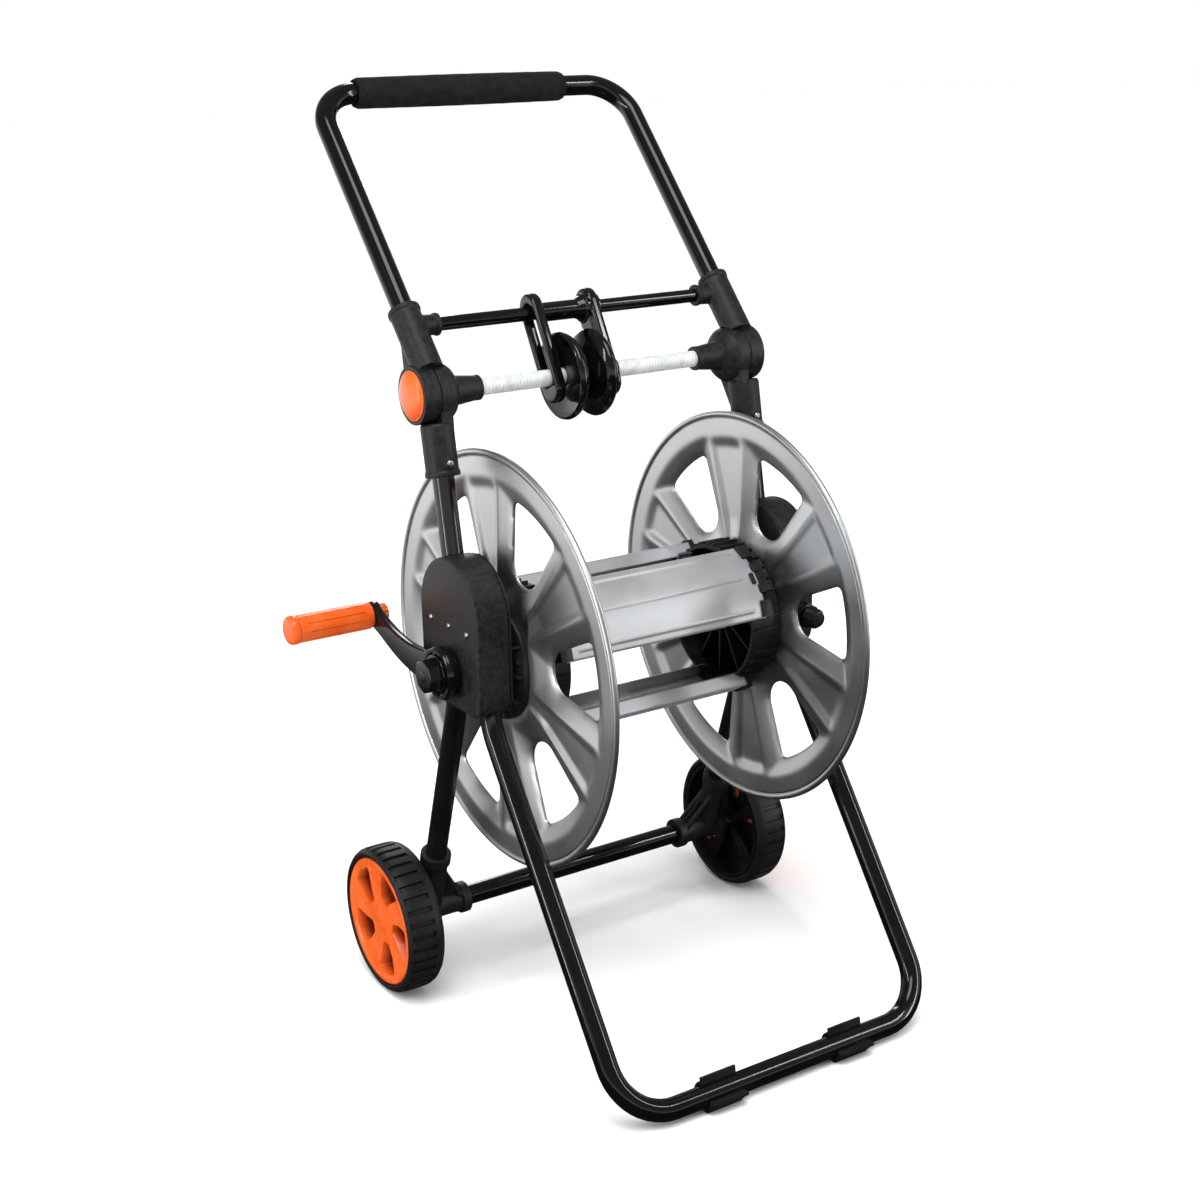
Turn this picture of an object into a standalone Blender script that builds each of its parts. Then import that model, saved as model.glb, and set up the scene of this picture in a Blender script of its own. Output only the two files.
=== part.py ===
"""Garden hose reel cart: a folding tubular frame on two wheels, a stamped-steel reel turned by a crank,
and a sliding hose guide. Metres, +Z up, +Y towards the wheels' side, crank on the -X side.
Sub-parts are placed from the middle plane (X), the wheel axle (Y) and the ground (Z); the empty "cart" then
moves the whole cart so that the world origin lies under the middle of its bounding box."""

import math

import bmesh
import bpy
from mathutils import Matrix, Quaternion, Vector

# ---- driving dimensions -----------------------------------------------------------------------------
GAP = 0.0003              # clearance between touching pieces
SIDES = (("left", -1), ("right", 1))

TRACK = 0.187             # frame tube planes, each side of the middle
TUBE_R = 0.011
TUBE_SIDES_RES = 4        # bevel resolution of the frame tubes

WHEEL_R = 0.080
WHEEL_Z = 0.080
WHEEL_OUT = 0.2495        # outer face of the tyre
WHEEL_IN = 0.2075         # inner face of the tyre
RIM_R = 0.070
WHEEL_OPENINGS = 5
AXLE_R = 0.005

AXLE_TUBE_END = 0.165
BRACKET_IN = 0.141        # end of the bracket's sleeve, towards the middle
BRACKET_OUT = 0.2065
SLEEVE_R = 0.0145

BASE_Y, BASE_Z = -0.388, 0.015          # base bar of the front frame
LEG_KNEE = (-0.153, 0.343)              # where the front leg bends, (Y, Z)
LEG_TOP_Z = 0.440
BASE_BEND, KNEE_BEND = 0.055, 0.070
FOOT_X, FOOT_WIDTH, FOOT_R = 0.079, 0.042, 0.015
FOOT_SOLE = 0.014

REAR_LEG_KNEE = (-0.0855, 0.340)        # (Y, Z)
REAR_LEG_TOP = (-0.0875, 0.372)

REEL_Y, REEL_Z = -0.111, 0.3891         # reel and crank axis
FLANGE_R = 0.2142
FLANGE_X = 0.1495                       # middle of the flange's sheet
FLANGE_SHEET = 0.002
RIM_ROLL = 0.006                        # rolled edge of the flange
OPENINGS = 6
OPENING_PHASE = math.radians(68)        # from the front (-Y) towards the top
OPENING_OUT, OPENING_IN = 0.171, 0.092
OPENING_HALF_ANGLE = math.radians(12)
HUB_R = 0.060
SHAFT_R = 0.008

DRUM_R = 0.0865
DRUM_END_R = 0.074
DRUM_HALF = 0.122
STAVES = 3
STAVE_PHASE = math.radians(39)
STAVE_HALF_ANGLE = math.radians(29)
STAVE_SHEET = 0.0016

HOUSING_HALF = 0.058
HOUSING_BOTTOM, HOUSING_SHOULDER = 0.352, 0.446
HOUSING_IN, HOUSING_OUT = 0.1713, 0.206
HOUSING_WALL = 0.0026
PLATE_IN = 0.1685

POST_TOP = (-0.0693, 0.616)             # upper post's axis, (Y, Z)
POST_BOTTOM = (-0.1024, 0.430)

PIVOT_Y, PIVOT_Z = -0.0527, 0.6548      # handle pivot and hose guide rod
HINGE_R = 0.029
HINGE_SPLIT = 0.187                     # plane between the two halves of the hinge
HINGE_IN, HINGE_OUT = 0.170, 0.205
SOCKET_R = 0.0155
LOWER_SOCKET_END_Z = 0.577
ROD_R = 0.0085
HINGE_PIN_R, HINGE_PIN_END = 0.005, 0.1935
ROD_BOSS_END = 0.131
BUTTON_R = 0.0245
BUTTON_POCKET = 0.0105                  # depth of the button's pocket

HANDLE_TOP = (0.1706, 0.9310)           # bar axis, (Y, Z)
HANDLE_ENTRY = (-0.0089, 0.7311)        # where the handle tube enters its socket
HANDLE_TRACK = 0.1875
HANDLE_BEND = 0.045
FOAM_R = 0.0165
FOAM_LEFT, FOAM_RIGHT = -0.142, 0.110

CROSSBAR_Y, CROSSBAR_Z = -0.0190, 0.7158
CROSSBAR_R = 0.007
CROSSBAR_BOSS_END = 0.156

GUIDE_LEFT, GUIDE_RIGHT = -0.046, 0.021  # middle planes of the two guide arms
GUIDE_HALF = 0.006                       # half of an arm's thickness
GUIDE_WIDTH_R = 0.0155
ROLLER_R, ROLLER_GROOVE_R = 0.045, 0.019
ROLLER_LEFT, ROLLER_RIGHT = -0.037, 0.012

CRANK_REACH = (0.147, 0.0224)           # from the reel axis to the grip axis, (Y, Z)
ARM_IN, ARM_OUT = 0.211, 0.220
KNOB_OUT, KNOB_R = 0.237, 0.0185
GRIP_R = 0.0145
GRIP_END = 0.3144
PIN_R = 0.004

# ---- materials --------------------------------------------------------------------------------------


def material(name, colour, roughness, metallic=0.0):
    made = bpy.data.materials.new(name)
    made.use_nodes = True
    shader = made.node_tree.nodes["Principled BSDF"]
    shader.inputs["Base Color"].default_value = (*colour, 1.0)
    shader.inputs["Roughness"].default_value = roughness
    shader.inputs["Metallic"].default_value = metallic
    made.diffuse_color = (*colour, 1.0)
    return made


# ---- building blocks --------------------------------------------------------------------------------


def new_collection(name):
    made = bpy.data.collections.new(name)
    bpy.context.scene.collection.children.link(made)
    return made


def empty(name, location, parent=None):
    made = bpy.data.objects.new(name, None)
    made.location = location
    made.parent = parent
    parts.objects.link(made)
    return made


def piece(name, data, parent, finish, location=(0, 0, 0), turn=(0, 0, 0)):
    """A named sub-part. `turn` is an Euler rotation or a quaternion."""
    made = bpy.data.objects.new(name, data)
    made.location = location
    made.rotation_euler = turn.to_euler() if isinstance(turn, Quaternion) else turn
    made.parent = parent
    if isinstance(data, bpy.types.Mesh):
        data.shade_smooth()
        data.set_sharp_from_angle(angle=math.radians(35))
    data.materials.append(finish)
    parts.objects.link(made)
    return made


def as_cutter(obj):
    parts.objects.unlink(obj)
    cutters.objects.link(obj)
    obj.hide_render = True
    obj.display_type = "WIRE"
    return obj


def combine(obj, operation, *others):
    """Adds to or takes from obj with Boolean modifiers, and puts the other shapes away as cutters."""
    for other in others:
        as_cutter(other)
        step = obj.modifiers.new(other.name, "BOOLEAN")
        step.operation = operation
        step.object = other
    return obj


def as_mesh(obj):
    """Makes a curve object a mesh object with welded caps, in the same place."""
    bpy.context.view_layer.update()
    evaluated = obj.evaluated_get(bpy.context.evaluated_depsgraph_get())
    mesh = bpy.data.meshes.new_from_object(evaluated)
    bm = bmesh.new()
    bm.from_mesh(mesh)
    bmesh.ops.remove_doubles(bm, verts=bm.verts, dist=0.00001)
    bm.to_mesh(mesh)
    bm.free()
    name, parent = obj.name, obj.parent
    location, turn, finish = obj.location.copy(), obj.rotation_euler.copy(), obj.data.materials[0]
    bpy.data.objects.remove(obj, do_unlink=True)
    mesh.materials.clear()
    return piece(name, mesh, parent, finish, location, turn)


def bar(name, start, end, radius, parent, finish, end_radius=None, sides=16):
    """A solid round bar, or a cone, between two points."""
    start, end = Vector(start), Vector(end)
    bm = bmesh.new()
    bmesh.ops.create_cone(
        bm,
        cap_ends=True,
        segments=sides,
        radius1=radius,
        radius2=radius if end_radius is None else end_radius,
        depth=(end - start).length,
    )
    mesh = bpy.data.meshes.new(name)
    bm.to_mesh(mesh)
    bm.free()
    turn = (end - start).to_track_quat("Z", "Y")
    return piece(name, mesh, parent, finish, (start + end) / 2, turn)


def block(name, centre, size, parent, finish, turn=(0, 0, 0)):
    bm = bmesh.new()
    bmesh.ops.create_cube(bm, size=1.0, matrix=Matrix.Diagonal((*size, 1.0)))
    mesh = bpy.data.meshes.new(name)
    bm.to_mesh(mesh)
    bm.free()
    return piece(name, mesh, parent, finish, centre, turn)


def turned(name, profile, side, parent, finish, closed=True, steps=24, location=(0, 0, 0)):
    """A shape turned about X. The profile's points are (radius, distance outwards),
    running down the outer side.""",
    bm = bmesh.new()
    verts = [bm.verts.new((radius, 0, height)) for radius, height in profile]
    for first, second in zip(verts, verts[1:] + verts[:1] if closed else verts[1:]):
        bm.edges.new((first, second))
    mesh = bpy.data.meshes.new(name)
    bm.to_mesh(mesh)
    bm.free()
    made = piece(name, mesh, parent, finish, location, (0, side * math.pi / 2, 0))
    screw = made.modifiers.new("turn", "SCREW")
    screw.steps = screw.render_steps = steps
    screw.use_merge_vertices = True
    screw.merge_threshold = 0.00001
    return made


def tube(name, points, radius, parent, finish, resolution=TUBE_SIDES_RES):
    """A round tube along a polyline, with filled ends."""
    curve = bpy.data.curves.new(name, "CURVE")
    curve.dimensions = "3D"
    curve.bevel_depth = radius
    curve.bevel_resolution = resolution
    curve.use_fill_caps = True
    spline = curve.splines.new("POLY")
    spline.points.add(len(points) - 1)
    for point, place in zip(spline.points, points):
        point.co = (*place, 1.0)
    return piece(name, curve, parent, finish)


def sheet(name, outlines, thickness, parent, finish, x_middle=0.0, centre=(0, 0)):
    """A flat piece across X: each outline is a list of (Y, Z); outlines inside the first are holes."""
    curve = bpy.data.curves.new(name, "CURVE")
    curve.dimensions = "2D"
    curve.fill_mode = "BOTH"
    curve.extrude = thickness / 2
    for outline in outlines:
        spline = curve.splines.new("POLY")
        spline.points.add(len(outline) - 1)
        spline.use_cyclic_u = True
        for point, (y, z) in zip(spline.points, outline):
            point.co = (y, z, 0.0, 1.0)
    location = (x_middle, *centre)
    return piece(name, curve, parent, finish, location, (math.pi / 2, 0, math.pi / 2))


def rounded(corners, radii, steps=5):
    """The corners of an open polyline rounded with arcs, one radius for each; its two ends stay."""
    corners = [Vector(corner) for corner in corners]
    made = [corners[0]]
    for before, corner, after, radius in zip(corners, corners[1:], corners[2:], radii):
        to_before, to_after = (before - corner).normalized(), (after - corner).normalized()
        half = to_before.angle(to_after) / 2
        centre = corner + (to_before + to_after).normalized() * radius / math.sin(half)
        start = corner + to_before * radius / math.tan(half) - centre
        axis = start.cross(-to_before)
        for step in range(steps + 1):
            angle = (math.pi - 2 * half) * step / steps
            made.append(centre + Quaternion(axis, angle) @ start)
    return made + [corners[-1]]


def arc(centre, radius, start, end, steps):
    """Points of an arc in a plane; angles in radians, anticlockwise from the first axis."""
    angles = [start + (end - start) * step / steps for step in range(steps + 1)]
    return [(centre[0] + radius * math.cos(a), centre[1] + radius * math.sin(a)) for a in angles]


def circle(radius, steps, centre=(0, 0)):
    return arc(centre, radius, 0, 2 * math.pi * (steps - 1) / steps, steps - 1)


def around_front(angle, radius):
    """(Y, Z) at an angle measured from the front (-Y) towards the top."""
    return -radius * math.cos(angle), radius * math.sin(angle)


def toward(start, end, distance):
    """The (Y, Z) point at a distance from start on the line to end."""
    start, end = Vector(start), Vector(end)
    return tuple(start + (end - start).normalized() * distance)


# ---- frame ------------------------------------------------------------------------------------------


def front_frame(cart, gloss_black):
    """One tube bent to a U: both front legs and the base bar, up into the two side housings."""
    corners = []
    for side in (-1, 1):
        leg = [
            (side * TRACK, LEG_KNEE[0], LEG_TOP_Z),
            (side * TRACK, *LEG_KNEE),
            (side * TRACK, BASE_Y, BASE_Z),
        ]
        corners += leg if side < 0 else leg[::-1]
    bends = [KNEE_BEND, BASE_BEND, BASE_BEND, KNEE_BEND]
    tube("front_frame_tube", rounded(corners, bends), TUBE_R, cart, gloss_black)


def rear_leg(name, side, cart, satin_black):
    foot = toward((0, WHEEL_Z), REAR_LEG_KNEE, 0.020)
    corners = [(side * TRACK, *foot), (side * TRACK, *REAR_LEG_KNEE), (side * TRACK, *REAR_LEG_TOP)]
    tube("rear_leg_" + name, rounded(corners, [0.060], 3), TUBE_R, cart, satin_black)


def upper_post(name, side, cart, gloss_black):
    ends = [(side * TRACK, *POST_BOTTOM), (side * TRACK, *POST_TOP)]
    tube("upper_post_" + name, ends, TUBE_R, cart, gloss_black)


def foot_clip(name, side, cart, rubber):
    """A C-shaped clip around the base bar, open towards the front and top, with a flat sole."""
    mouth_front, mouth_top = 2 * math.pi, math.radians(105)
    outer = [around_front(a, FOOT_R) for a in angles(mouth_top, math.radians(232), 5)]
    outer += [(FOOT_SOLE / 2, -FOOT_R), (-FOOT_SOLE / 2, -FOOT_R)]
    outer += [around_front(a, FOOT_R) for a in angles(math.radians(308), mouth_front, 2)]
    inner = [around_front(a, TUBE_R + GAP) for a in angles(mouth_front, mouth_top, 9)]
    centre = (BASE_Y, BASE_Z)
    sheet("front_foot_" + name, [outer + inner], FOOT_WIDTH, cart, rubber, side * FOOT_X, centre)


def angles(start, end, steps):
    return [start + (end - start) * step / steps for step in range(steps + 1)]


def axle(cart, gloss_black, steel):
    """The cross tube between the wheel brackets, and the axle rod through it."""
    ends = [(x, 0, WHEEL_Z) for x in (-AXLE_TUBE_END, AXLE_TUBE_END)]
    made = bar("axle_tube", *ends, TUBE_R, cart, gloss_black)
    hollow = bar("axle_tube_bore", *[(x * 1.1, y, z) for x, y, z in ends], AXLE_R + 0.002, cart, steel)
    combine(made, "DIFFERENCE", hollow)
    rod = [(x, 0, WHEEL_Z) for x in (-0.240, 0.240)]
    bar("axle_rod", *rod, AXLE_R, cart, steel, sides=16)


def wheel_bracket(name, side, cart, plastic):
    """Moulded bracket: a sleeve for the axle, a socket for the rear leg, and two gussets between them."""
    full = "wheel_bracket_" + name
    x_in, x_out, x_leg = side * BRACKET_IN, side * BRACKET_OUT, side * TRACK
    made = bar(full, (x_in, 0, WHEEL_Z), (x_out, 0, WHEEL_Z), SLEEVE_R, cart, plastic)
    socket_end = toward((0, WHEEL_Z), REAR_LEG_KNEE, 0.066)
    socket = bar(full + "_socket", (x_leg, 0, WHEEL_Z), (x_leg, *socket_end), SLEEVE_R, cart, plastic)
    collar = bar(
        full + "_collar", (x_in, 0, WHEEL_Z), (x_in + side * 0.009, 0, WHEEL_Z), 0.0165, cart, plastic
    )
    low, high = toward((0, WHEEL_Z), REAR_LEG_KNEE, 0.010), toward((0, WHEEL_Z), REAR_LEG_KNEE, 0.056)
    rib = bar(full + "_rib", (side * 0.148, *low), (side * 0.178, *high), 0.0055, cart, plastic, sides=8)
    web_centre = toward((0, WHEEL_Z), REAR_LEG_KNEE, 0.022)
    lean = math.atan2(-REAR_LEG_KNEE[0], REAR_LEG_KNEE[1] - WHEEL_Z)
    web = block(
        full + "_web", (side * 0.167, *web_centre), (0.030, 0.006, 0.034), cart, plastic, (lean, 0, 0)
    )
    combine(made, "UNION", socket, collar, rib, web)
    tube_bore = bar(
        full + "_tube_bore",
        (side * (BRACKET_IN - 0.01), 0, WHEEL_Z),
        (side * (AXLE_TUBE_END + GAP), 0, WHEEL_Z),
        TUBE_R + GAP,
        cart,
        plastic,
    )
    rod_bore = bar(
        full + "_rod_bore",
        (side * 0.150, 0, WHEEL_Z),
        (side * 0.220, 0, WHEEL_Z),
        AXLE_R + GAP,
        cart,
        plastic,
    )
    leg_start, leg_end = (toward((0, WHEEL_Z), REAR_LEG_KNEE, d) for d in (0.0197, 0.100))
    leg_bore = bar(full + "_leg_bore", (x_leg, *leg_start), (x_leg, *leg_end), TUBE_R + GAP, cart, plastic)
    combine(made, "DIFFERENCE", tube_bore, rod_bore, leg_bore)


# ---- side housings ----------------------------------------------------------------------------------


def housing_outline(inset):
    """The housing's face: a half-round top, straight sides and rounded lower corners, (Y, Z)."""
    half, low, corner = HOUSING_HALF - inset, HOUSING_BOTTOM + inset, 0.018 - inset
    y_low, y_high = REEL_Y - half, REEL_Y + half
    top = arc((REEL_Y, HOUSING_SHOULDER), half, 0, math.pi, 14)
    front = arc((y_low + corner, low + corner), corner, math.pi, 1.5 * math.pi, 3)
    rear = arc((y_high - corner, low + corner), corner, 1.5 * math.pi, 2 * math.pi, 3)
    return top + front + rear


def tube_bores(name, side, cart, plastic):
    """The holes that the three tubes of one side need in a housing."""
    x = side * TRACK
    rear = [(x, *toward(REAR_LEG_TOP, REAR_LEG_KNEE, d)) for d in (-0.003, 0.034)]
    front = [(x, LEG_KNEE[0], z) for z in (LEG_TOP_Z + 0.003, HOUSING_BOTTOM - 0.002)]
    post = [(x, *toward(POST_BOTTOM, POST_TOP, d)) for d in (-0.003, 0.100)]
    return [
        bar(name + "_rear_bore", *rear, TUBE_R + GAP, cart, plastic),
        bar(name + "_front_bore", *front, TUBE_R + GAP, cart, plastic),
        bar(name + "_knee_bore", (x, -0.1530, 0.360), (x, -0.1640, 0.330), TUBE_R + 2 * GAP, cart, plastic),
        bar(name + "_post_bore", *post, TUBE_R + GAP, cart, plastic),
    ]


def screw_places():
    """The three cover screws of a housing, (Y, Z)."""
    return [(REEL_Y + step * 0.036, 0.436) for step in (1, 0, -1)]


def side_housing(name, side, cart, plastic):
    """The outer shell, open towards the reel, with holes for the tubes, the shaft and three screws."""
    full = "side_housing_" + name
    middle, depth = side * (HOUSING_IN + HOUSING_OUT) / 2, HOUSING_OUT - HOUSING_IN
    made = as_mesh(sheet(full, [housing_outline(0)], depth, cart, plastic, middle))
    hollow_middle = middle - side * HOUSING_WALL
    hollow = as_mesh(
        sheet(full + "_hollow", [housing_outline(HOUSING_WALL)], depth, cart, plastic, hollow_middle)
    )
    shaft_ends = [(side * x, REEL_Y, REEL_Z) for x in (0.19, 0.22)]
    shaft = bar(full + "_shaft_bore", *shaft_ends, SHAFT_R + 0.0006, cart, plastic)
    screws = [
        bar(
            f"{full}_screw_bore_{i}",
            (side * 0.19, y, z),
            (side * 0.22, y, z),
            0.0018,
            cart,
            plastic,
            sides=10,
        )
        for i, (y, z) in enumerate(screw_places(), 1)
    ]
    combine(made, "DIFFERENCE", hollow, *tube_bores(full, side, cart, plastic), shaft, *screws)


def housing_screw(name, side, place, cart, steel):
    y, z = place
    head = HOUSING_OUT + GAP
    made = bar(name, (side * head, y, z), (side * (head + 0.0014), y, z), 0.0032, cart, steel, 0.0026, 12)
    shank = bar(
        name + "_shank", (side * (head + 0.0006), y, z), (side * 0.198, y, z), 0.0015, cart, steel, sides=8
    )
    combine(made, "UNION", shank)


def bearing_plate(name, side, cart, plastic):
    """The inner cover of a housing, with the bearing boss that the reel turns in."""
    full = "bearing_plate_" + name
    outer = HOUSING_IN - GAP
    middle, depth = side * (PLATE_IN + outer) / 2, outer - PLATE_IN
    made = as_mesh(sheet(full, [housing_outline(0.0008)], depth, cart, plastic, middle))
    ends = [(side * x, REEL_Y, REEL_Z) for x in (PLATE_IN + 0.0005, 0.200)]
    boss = bar(full + "_boss", *ends, 0.0115, cart, plastic)
    combine(made, "UNION", boss)
    bore_ends = [(side * x, REEL_Y, REEL_Z) for x in (0.16, 0.21)]
    combine(made, "DIFFERENCE", bar(full + "_bore", *bore_ends, SHAFT_R + GAP, cart, plastic))


def inlet(cart, plastic):
    """Water inlet on the right: a fixed pipe into the reel's hub, and a hose tail at the housing's front."""
    pipe_ends = [(x, REEL_Y, REEL_Z) for x in (0.112, 0.2030)]
    bar("inlet_pipe", *pipe_ends, SHAFT_R, cart, plastic)
    front = REEL_Y - HOUSING_HALF - GAP
    x, z = TRACK + 0.001, 0.3905
    body = bar("inlet_connector", (x, front, z), (x, front - 0.010, z), 0.0135, cart, plastic)
    ring = bar("inlet_ring", (x, front - 0.006, z), (x, front - 0.018, z), 0.0105, cart, plastic)
    tail = bar("inlet_tail", (x, front - 0.017, z), (x, front - 0.031, z), 0.0125, cart, plastic, 0.010)
    combine(body, "UNION", ring, tail)
    bore = bar("inlet_bore", (x, front - 0.005, z), (x, front - 0.040, z), 0.006, cart, plastic, sides=16)
    combine(body, "DIFFERENCE", bore)


# ---- reel -------------------------------------------------------------------------------------------


def opening_outline(centre_angle):
    """One opening of a flange: a rounded inner end, two nearly radial edges and an outer arc."""
    end_r = 0.023
    end_centre = OPENING_IN + end_r
    tip = arc((end_centre, 0), end_r, math.radians(100), math.radians(260), 6)
    outer = arc((0, 0), OPENING_OUT, -OPENING_HALF_ANGLE, OPENING_HALF_ANGLE, 4)
    points = [(OPENING_OUT - 0.008, -OPENING_OUT * math.sin(OPENING_HALF_ANGLE) - 0.002)] + outer[1:-1]
    points += [(OPENING_OUT - 0.008, OPENING_OUT * math.sin(OPENING_HALF_ANGLE) + 0.002)] + tip
    c, s = math.cos(centre_angle), math.sin(centre_angle)
    return [(-(u * c - v * s), u * s + v * c) for u, v in points]


def flange(name, side, reel, steel):
    """Stamped side disc with six openings and a rolled edge."""
    full = "flange_" + name
    holes = [opening_outline(OPENING_PHASE + 2 * math.pi * i / OPENINGS) for i in range(OPENINGS)]
    outlines = [circle(FLANGE_R - 0.002, 48), *holes, circle(SHAFT_R + 0.001, 12)]
    made = as_mesh(sheet(full, outlines, FLANGE_SHEET, reel, steel, side * FLANGE_X))
    inner, edge, half = FLANGE_R - RIM_ROLL, FLANGE_R, RIM_ROLL / 2
    high, low = FLANGE_X + half, FLANGE_X - half
    profile = [(inner, high), (edge, high), (edge, low), (inner, low)]
    roll = turned(full + "_roll", profile, side, reel, steel, steps=48)
    combine(made, "UNION", roll)


def drum_stave(number, reel, steel):
    """A pressed steel stave: shallow arc with a centre crease, and lips bent in along both edges."""
    middle = STAVE_PHASE + 2 * math.pi * (number - 1) / STAVES
    lip_angle, lip_depth, crease = math.radians(3.0), 0.010, 0.0010
    section = [(-STAVE_HALF_ANGLE - lip_angle / 2, -lip_depth)]
    for step in range(9):
        share = step / 4 - 1
        section.append((share * STAVE_HALF_ANGLE, -crease if step == 4 else 0.0))
    section.append((STAVE_HALF_ANGLE + lip_angle / 2, -lip_depth))
    outer = [around_front(middle + a, DRUM_R + d) for a, d in section]
    inner = [
        around_front(middle + a * 0.975, DRUM_R + d - STAVE_SHEET * (d > -lip_depth)) for a, d in section
    ]
    sheet(f"drum_stave_{number}", [outer + inner[::-1]], 2 * DRUM_HALF, reel, steel)


def drum_end(name, side, reel, plastic):
    """Plastic end of the drum: a ribbed cup on the flange, with a saddle under each stave's end."""
    face, depth = FLANGE_X - FLANGE_SHEET / 2 - GAP, 0.112
    profile = [
        (SHAFT_R + GAP, face),
        (DRUM_END_R, face),
        (DRUM_END_R, depth),
        (DRUM_END_R - 0.003, depth),
        (DRUM_END_R - 0.003, face - 0.004),
        (0.016, face - 0.004),
        (0.016, depth + 0.006),
        (SHAFT_R + GAP, depth + 0.006),
    ]
    made = turned("drum_end_" + name, profile, side, reel, plastic)
    for i in range(STAVES):
        angle = STAVE_PHASE + 2 * math.pi * i / STAVES
        reach = DRUM_R - STAVE_SHEET - 0.0016
        radius = (DRUM_END_R - 0.002 + reach) / 2
        size = (0.020, 0.030, reach - DRUM_END_R + 0.002)
        centre = (side * (depth + 0.013), *around_front(angle, radius))
        turn = (math.pi / 2 - angle, 0, 0)
        saddle = block(f"drum_end_{name}_saddle_{i}", centre, size, reel, plastic, turn)
        combine(made, "UNION", saddle)


def hub(name, side, reel, plastic):
    """Hub on the outside of a flange, between the reel and its housing."""
    face = FLANGE_X + FLANGE_SHEET / 2 + GAP
    profile = [
        (SHAFT_R + GAP, 0.1660),
        (0.030, 0.1660),
        (0.046, 0.1645),
        (0.057, 0.1590),
        (HUB_R, face),
        (SHAFT_R + GAP, face),
    ]
    turned("hub_" + name, profile, side, reel, plastic)


def crank_shaft(reel, steel):
    ends = [(x, 0, 0) for x in (-(KNOB_OUT - 0.005), -0.113)]
    bar("crank_shaft", *ends, SHAFT_R, reel, steel)


def outlet(reel, plastic):
    """Hose tail inside the drum, pointing out between two staves."""
    angle = STAVE_PHASE + math.pi / STAVES
    x = 0.086
    foot, end = around_front(angle, -0.010), around_front(angle, 0.070)
    made = bar("outlet_connector", (x, *foot), (x, *end), 0.0095, reel, plastic)
    collar = bar(
        "outlet_collar",
        (x, *around_front(angle, 0.030)),
        (x, *around_front(angle, 0.044)),
        0.014,
        reel,
        plastic,
    )
    elbow = bar("outlet_elbow", (x, 0, 0), (0.1117, 0, 0), 0.0105, reel, plastic)
    combine(made, "UNION", collar, elbow)
    bore = bar(
        "outlet_bore",
        (x, *around_front(angle, 0.020)),
        (x, *around_front(angle, 0.08)),
        0.006,
        reel,
        plastic,
    )
    combine(made, "DIFFERENCE", bore)


# ---- crank ------------------------------------------------------------------------------------------


def arm_outline():
    """The crank arm seen from the side: a round hub end, a waist that sags a little, a round grip end."""
    reach = Vector(CRANK_REACH)
    along = reach.normalized()
    across = Vector((-along[1], along[0]))
    stations = (
        (0.22, -0.004, 0.0165), (0.42, -0.007, 0.0120), (0.62, -0.0065, 0.0098), (0.82, -0.003, 0.0092)
    )
    upper, lower = [], []
    for share, sag, half in stations:
        middle = reach * share + across * sag
        upper.append(tuple(middle + across * half))
        lower.append(tuple(middle - across * half))
    tilt = math.atan2(along[1], along[0])
    hub_end = arc((0, 0), 0.027, tilt + math.radians(42), tilt + math.radians(322), 16)
    grip_end = arc(reach, 0.0125, tilt - math.radians(125), tilt + math.radians(125), 8)
    return hub_end + lower + grip_end + upper[::-1]


def crank_arm(reel, gloss_plastic):
    middle, depth = -(ARM_IN + ARM_OUT) / 2, ARM_OUT - ARM_IN
    made = as_mesh(sheet("crank_arm", [arm_outline()], depth, reel, gloss_plastic, middle))
    collar_ends = [(-x, 0, 0) for x in (HOUSING_OUT + 2 * GAP, ARM_IN + 0.002)]
    collar = bar("crank_arm_collar", *collar_ends, 0.024, reel, gloss_plastic)
    combine(made, "UNION", collar)
    shaft = bar("crank_arm_shaft_bore", (-0.20, 0, 0), (-0.23, 0, 0), SHAFT_R + GAP, reel, gloss_plastic)
    pin = bar(
        "crank_arm_pin_bore", (-0.20, *CRANK_REACH), (-0.23, *CRANK_REACH), PIN_R + GAP, reel, gloss_plastic
    )
    combine(made, "DIFFERENCE", shaft, pin)


def crank_knob(reel, gloss_plastic):
    """Eight-sided nut knob that clamps the arm to the shaft."""
    start = ARM_OUT + GAP
    made = bar(
        "crank_knob",
        (-start, 0, 0),
        (-KNOB_OUT, 0, 0),
        KNOB_R,
        reel,
        gloss_plastic,
        KNOB_R - 0.0018,
        sides=8,
    )
    bore = bar(
        "crank_knob_bore",
        (-start + 0.003, 0, 0),
        (-(KNOB_OUT - 0.0045), 0, 0),
        SHAFT_R + GAP,
        reel,
        gloss_plastic,
    )
    combine(made, "DIFFERENCE", bore)


def crank_pin(reel, steel, orange):
    """The grip's pin through the arm, and the ribbed cap that holds it behind."""
    y, z = CRANK_REACH
    bar("crank_pin", (-0.206, y, z), (-0.300, y, z), PIN_R, reel, steel, sides=16)
    cap = bar("crank_pin_cap", (-0.2015, y, z), (-(ARM_IN - GAP), y, z), 0.0085, reel, orange, 0.0095, 16)
    bore = bar("crank_pin_cap_bore", (-0.2045, y, z), (-0.215, y, z), PIN_R + GAP, reel, orange, sides=16)
    combine(cap, "DIFFERENCE", bore)


def crank_grip(grip_axis, orange):
    """Turning grip on the pin, closed at its outer end."""
    near, bore_end = ARM_OUT + GAP, 0.302
    profile = [
        (0.0, GRIP_END),
        (0.0105, GRIP_END),
        (GRIP_R - 0.0010, GRIP_END - 0.0030),
        (GRIP_R - 0.0010, GRIP_END - 0.0100),
        (GRIP_R, GRIP_END - 0.0110),
        (GRIP_R, near + 0.0020),
        (GRIP_R - 0.0015, near),
        (PIN_R + GAP, near),
        (PIN_R + GAP, bore_end),
        (0.0, bore_end),
    ]
    turned("crank_grip", profile, -1, grip_axis, orange, closed=False, steps=24)


# ---- wheels -----------------------------------------------------------------------------------------


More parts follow.
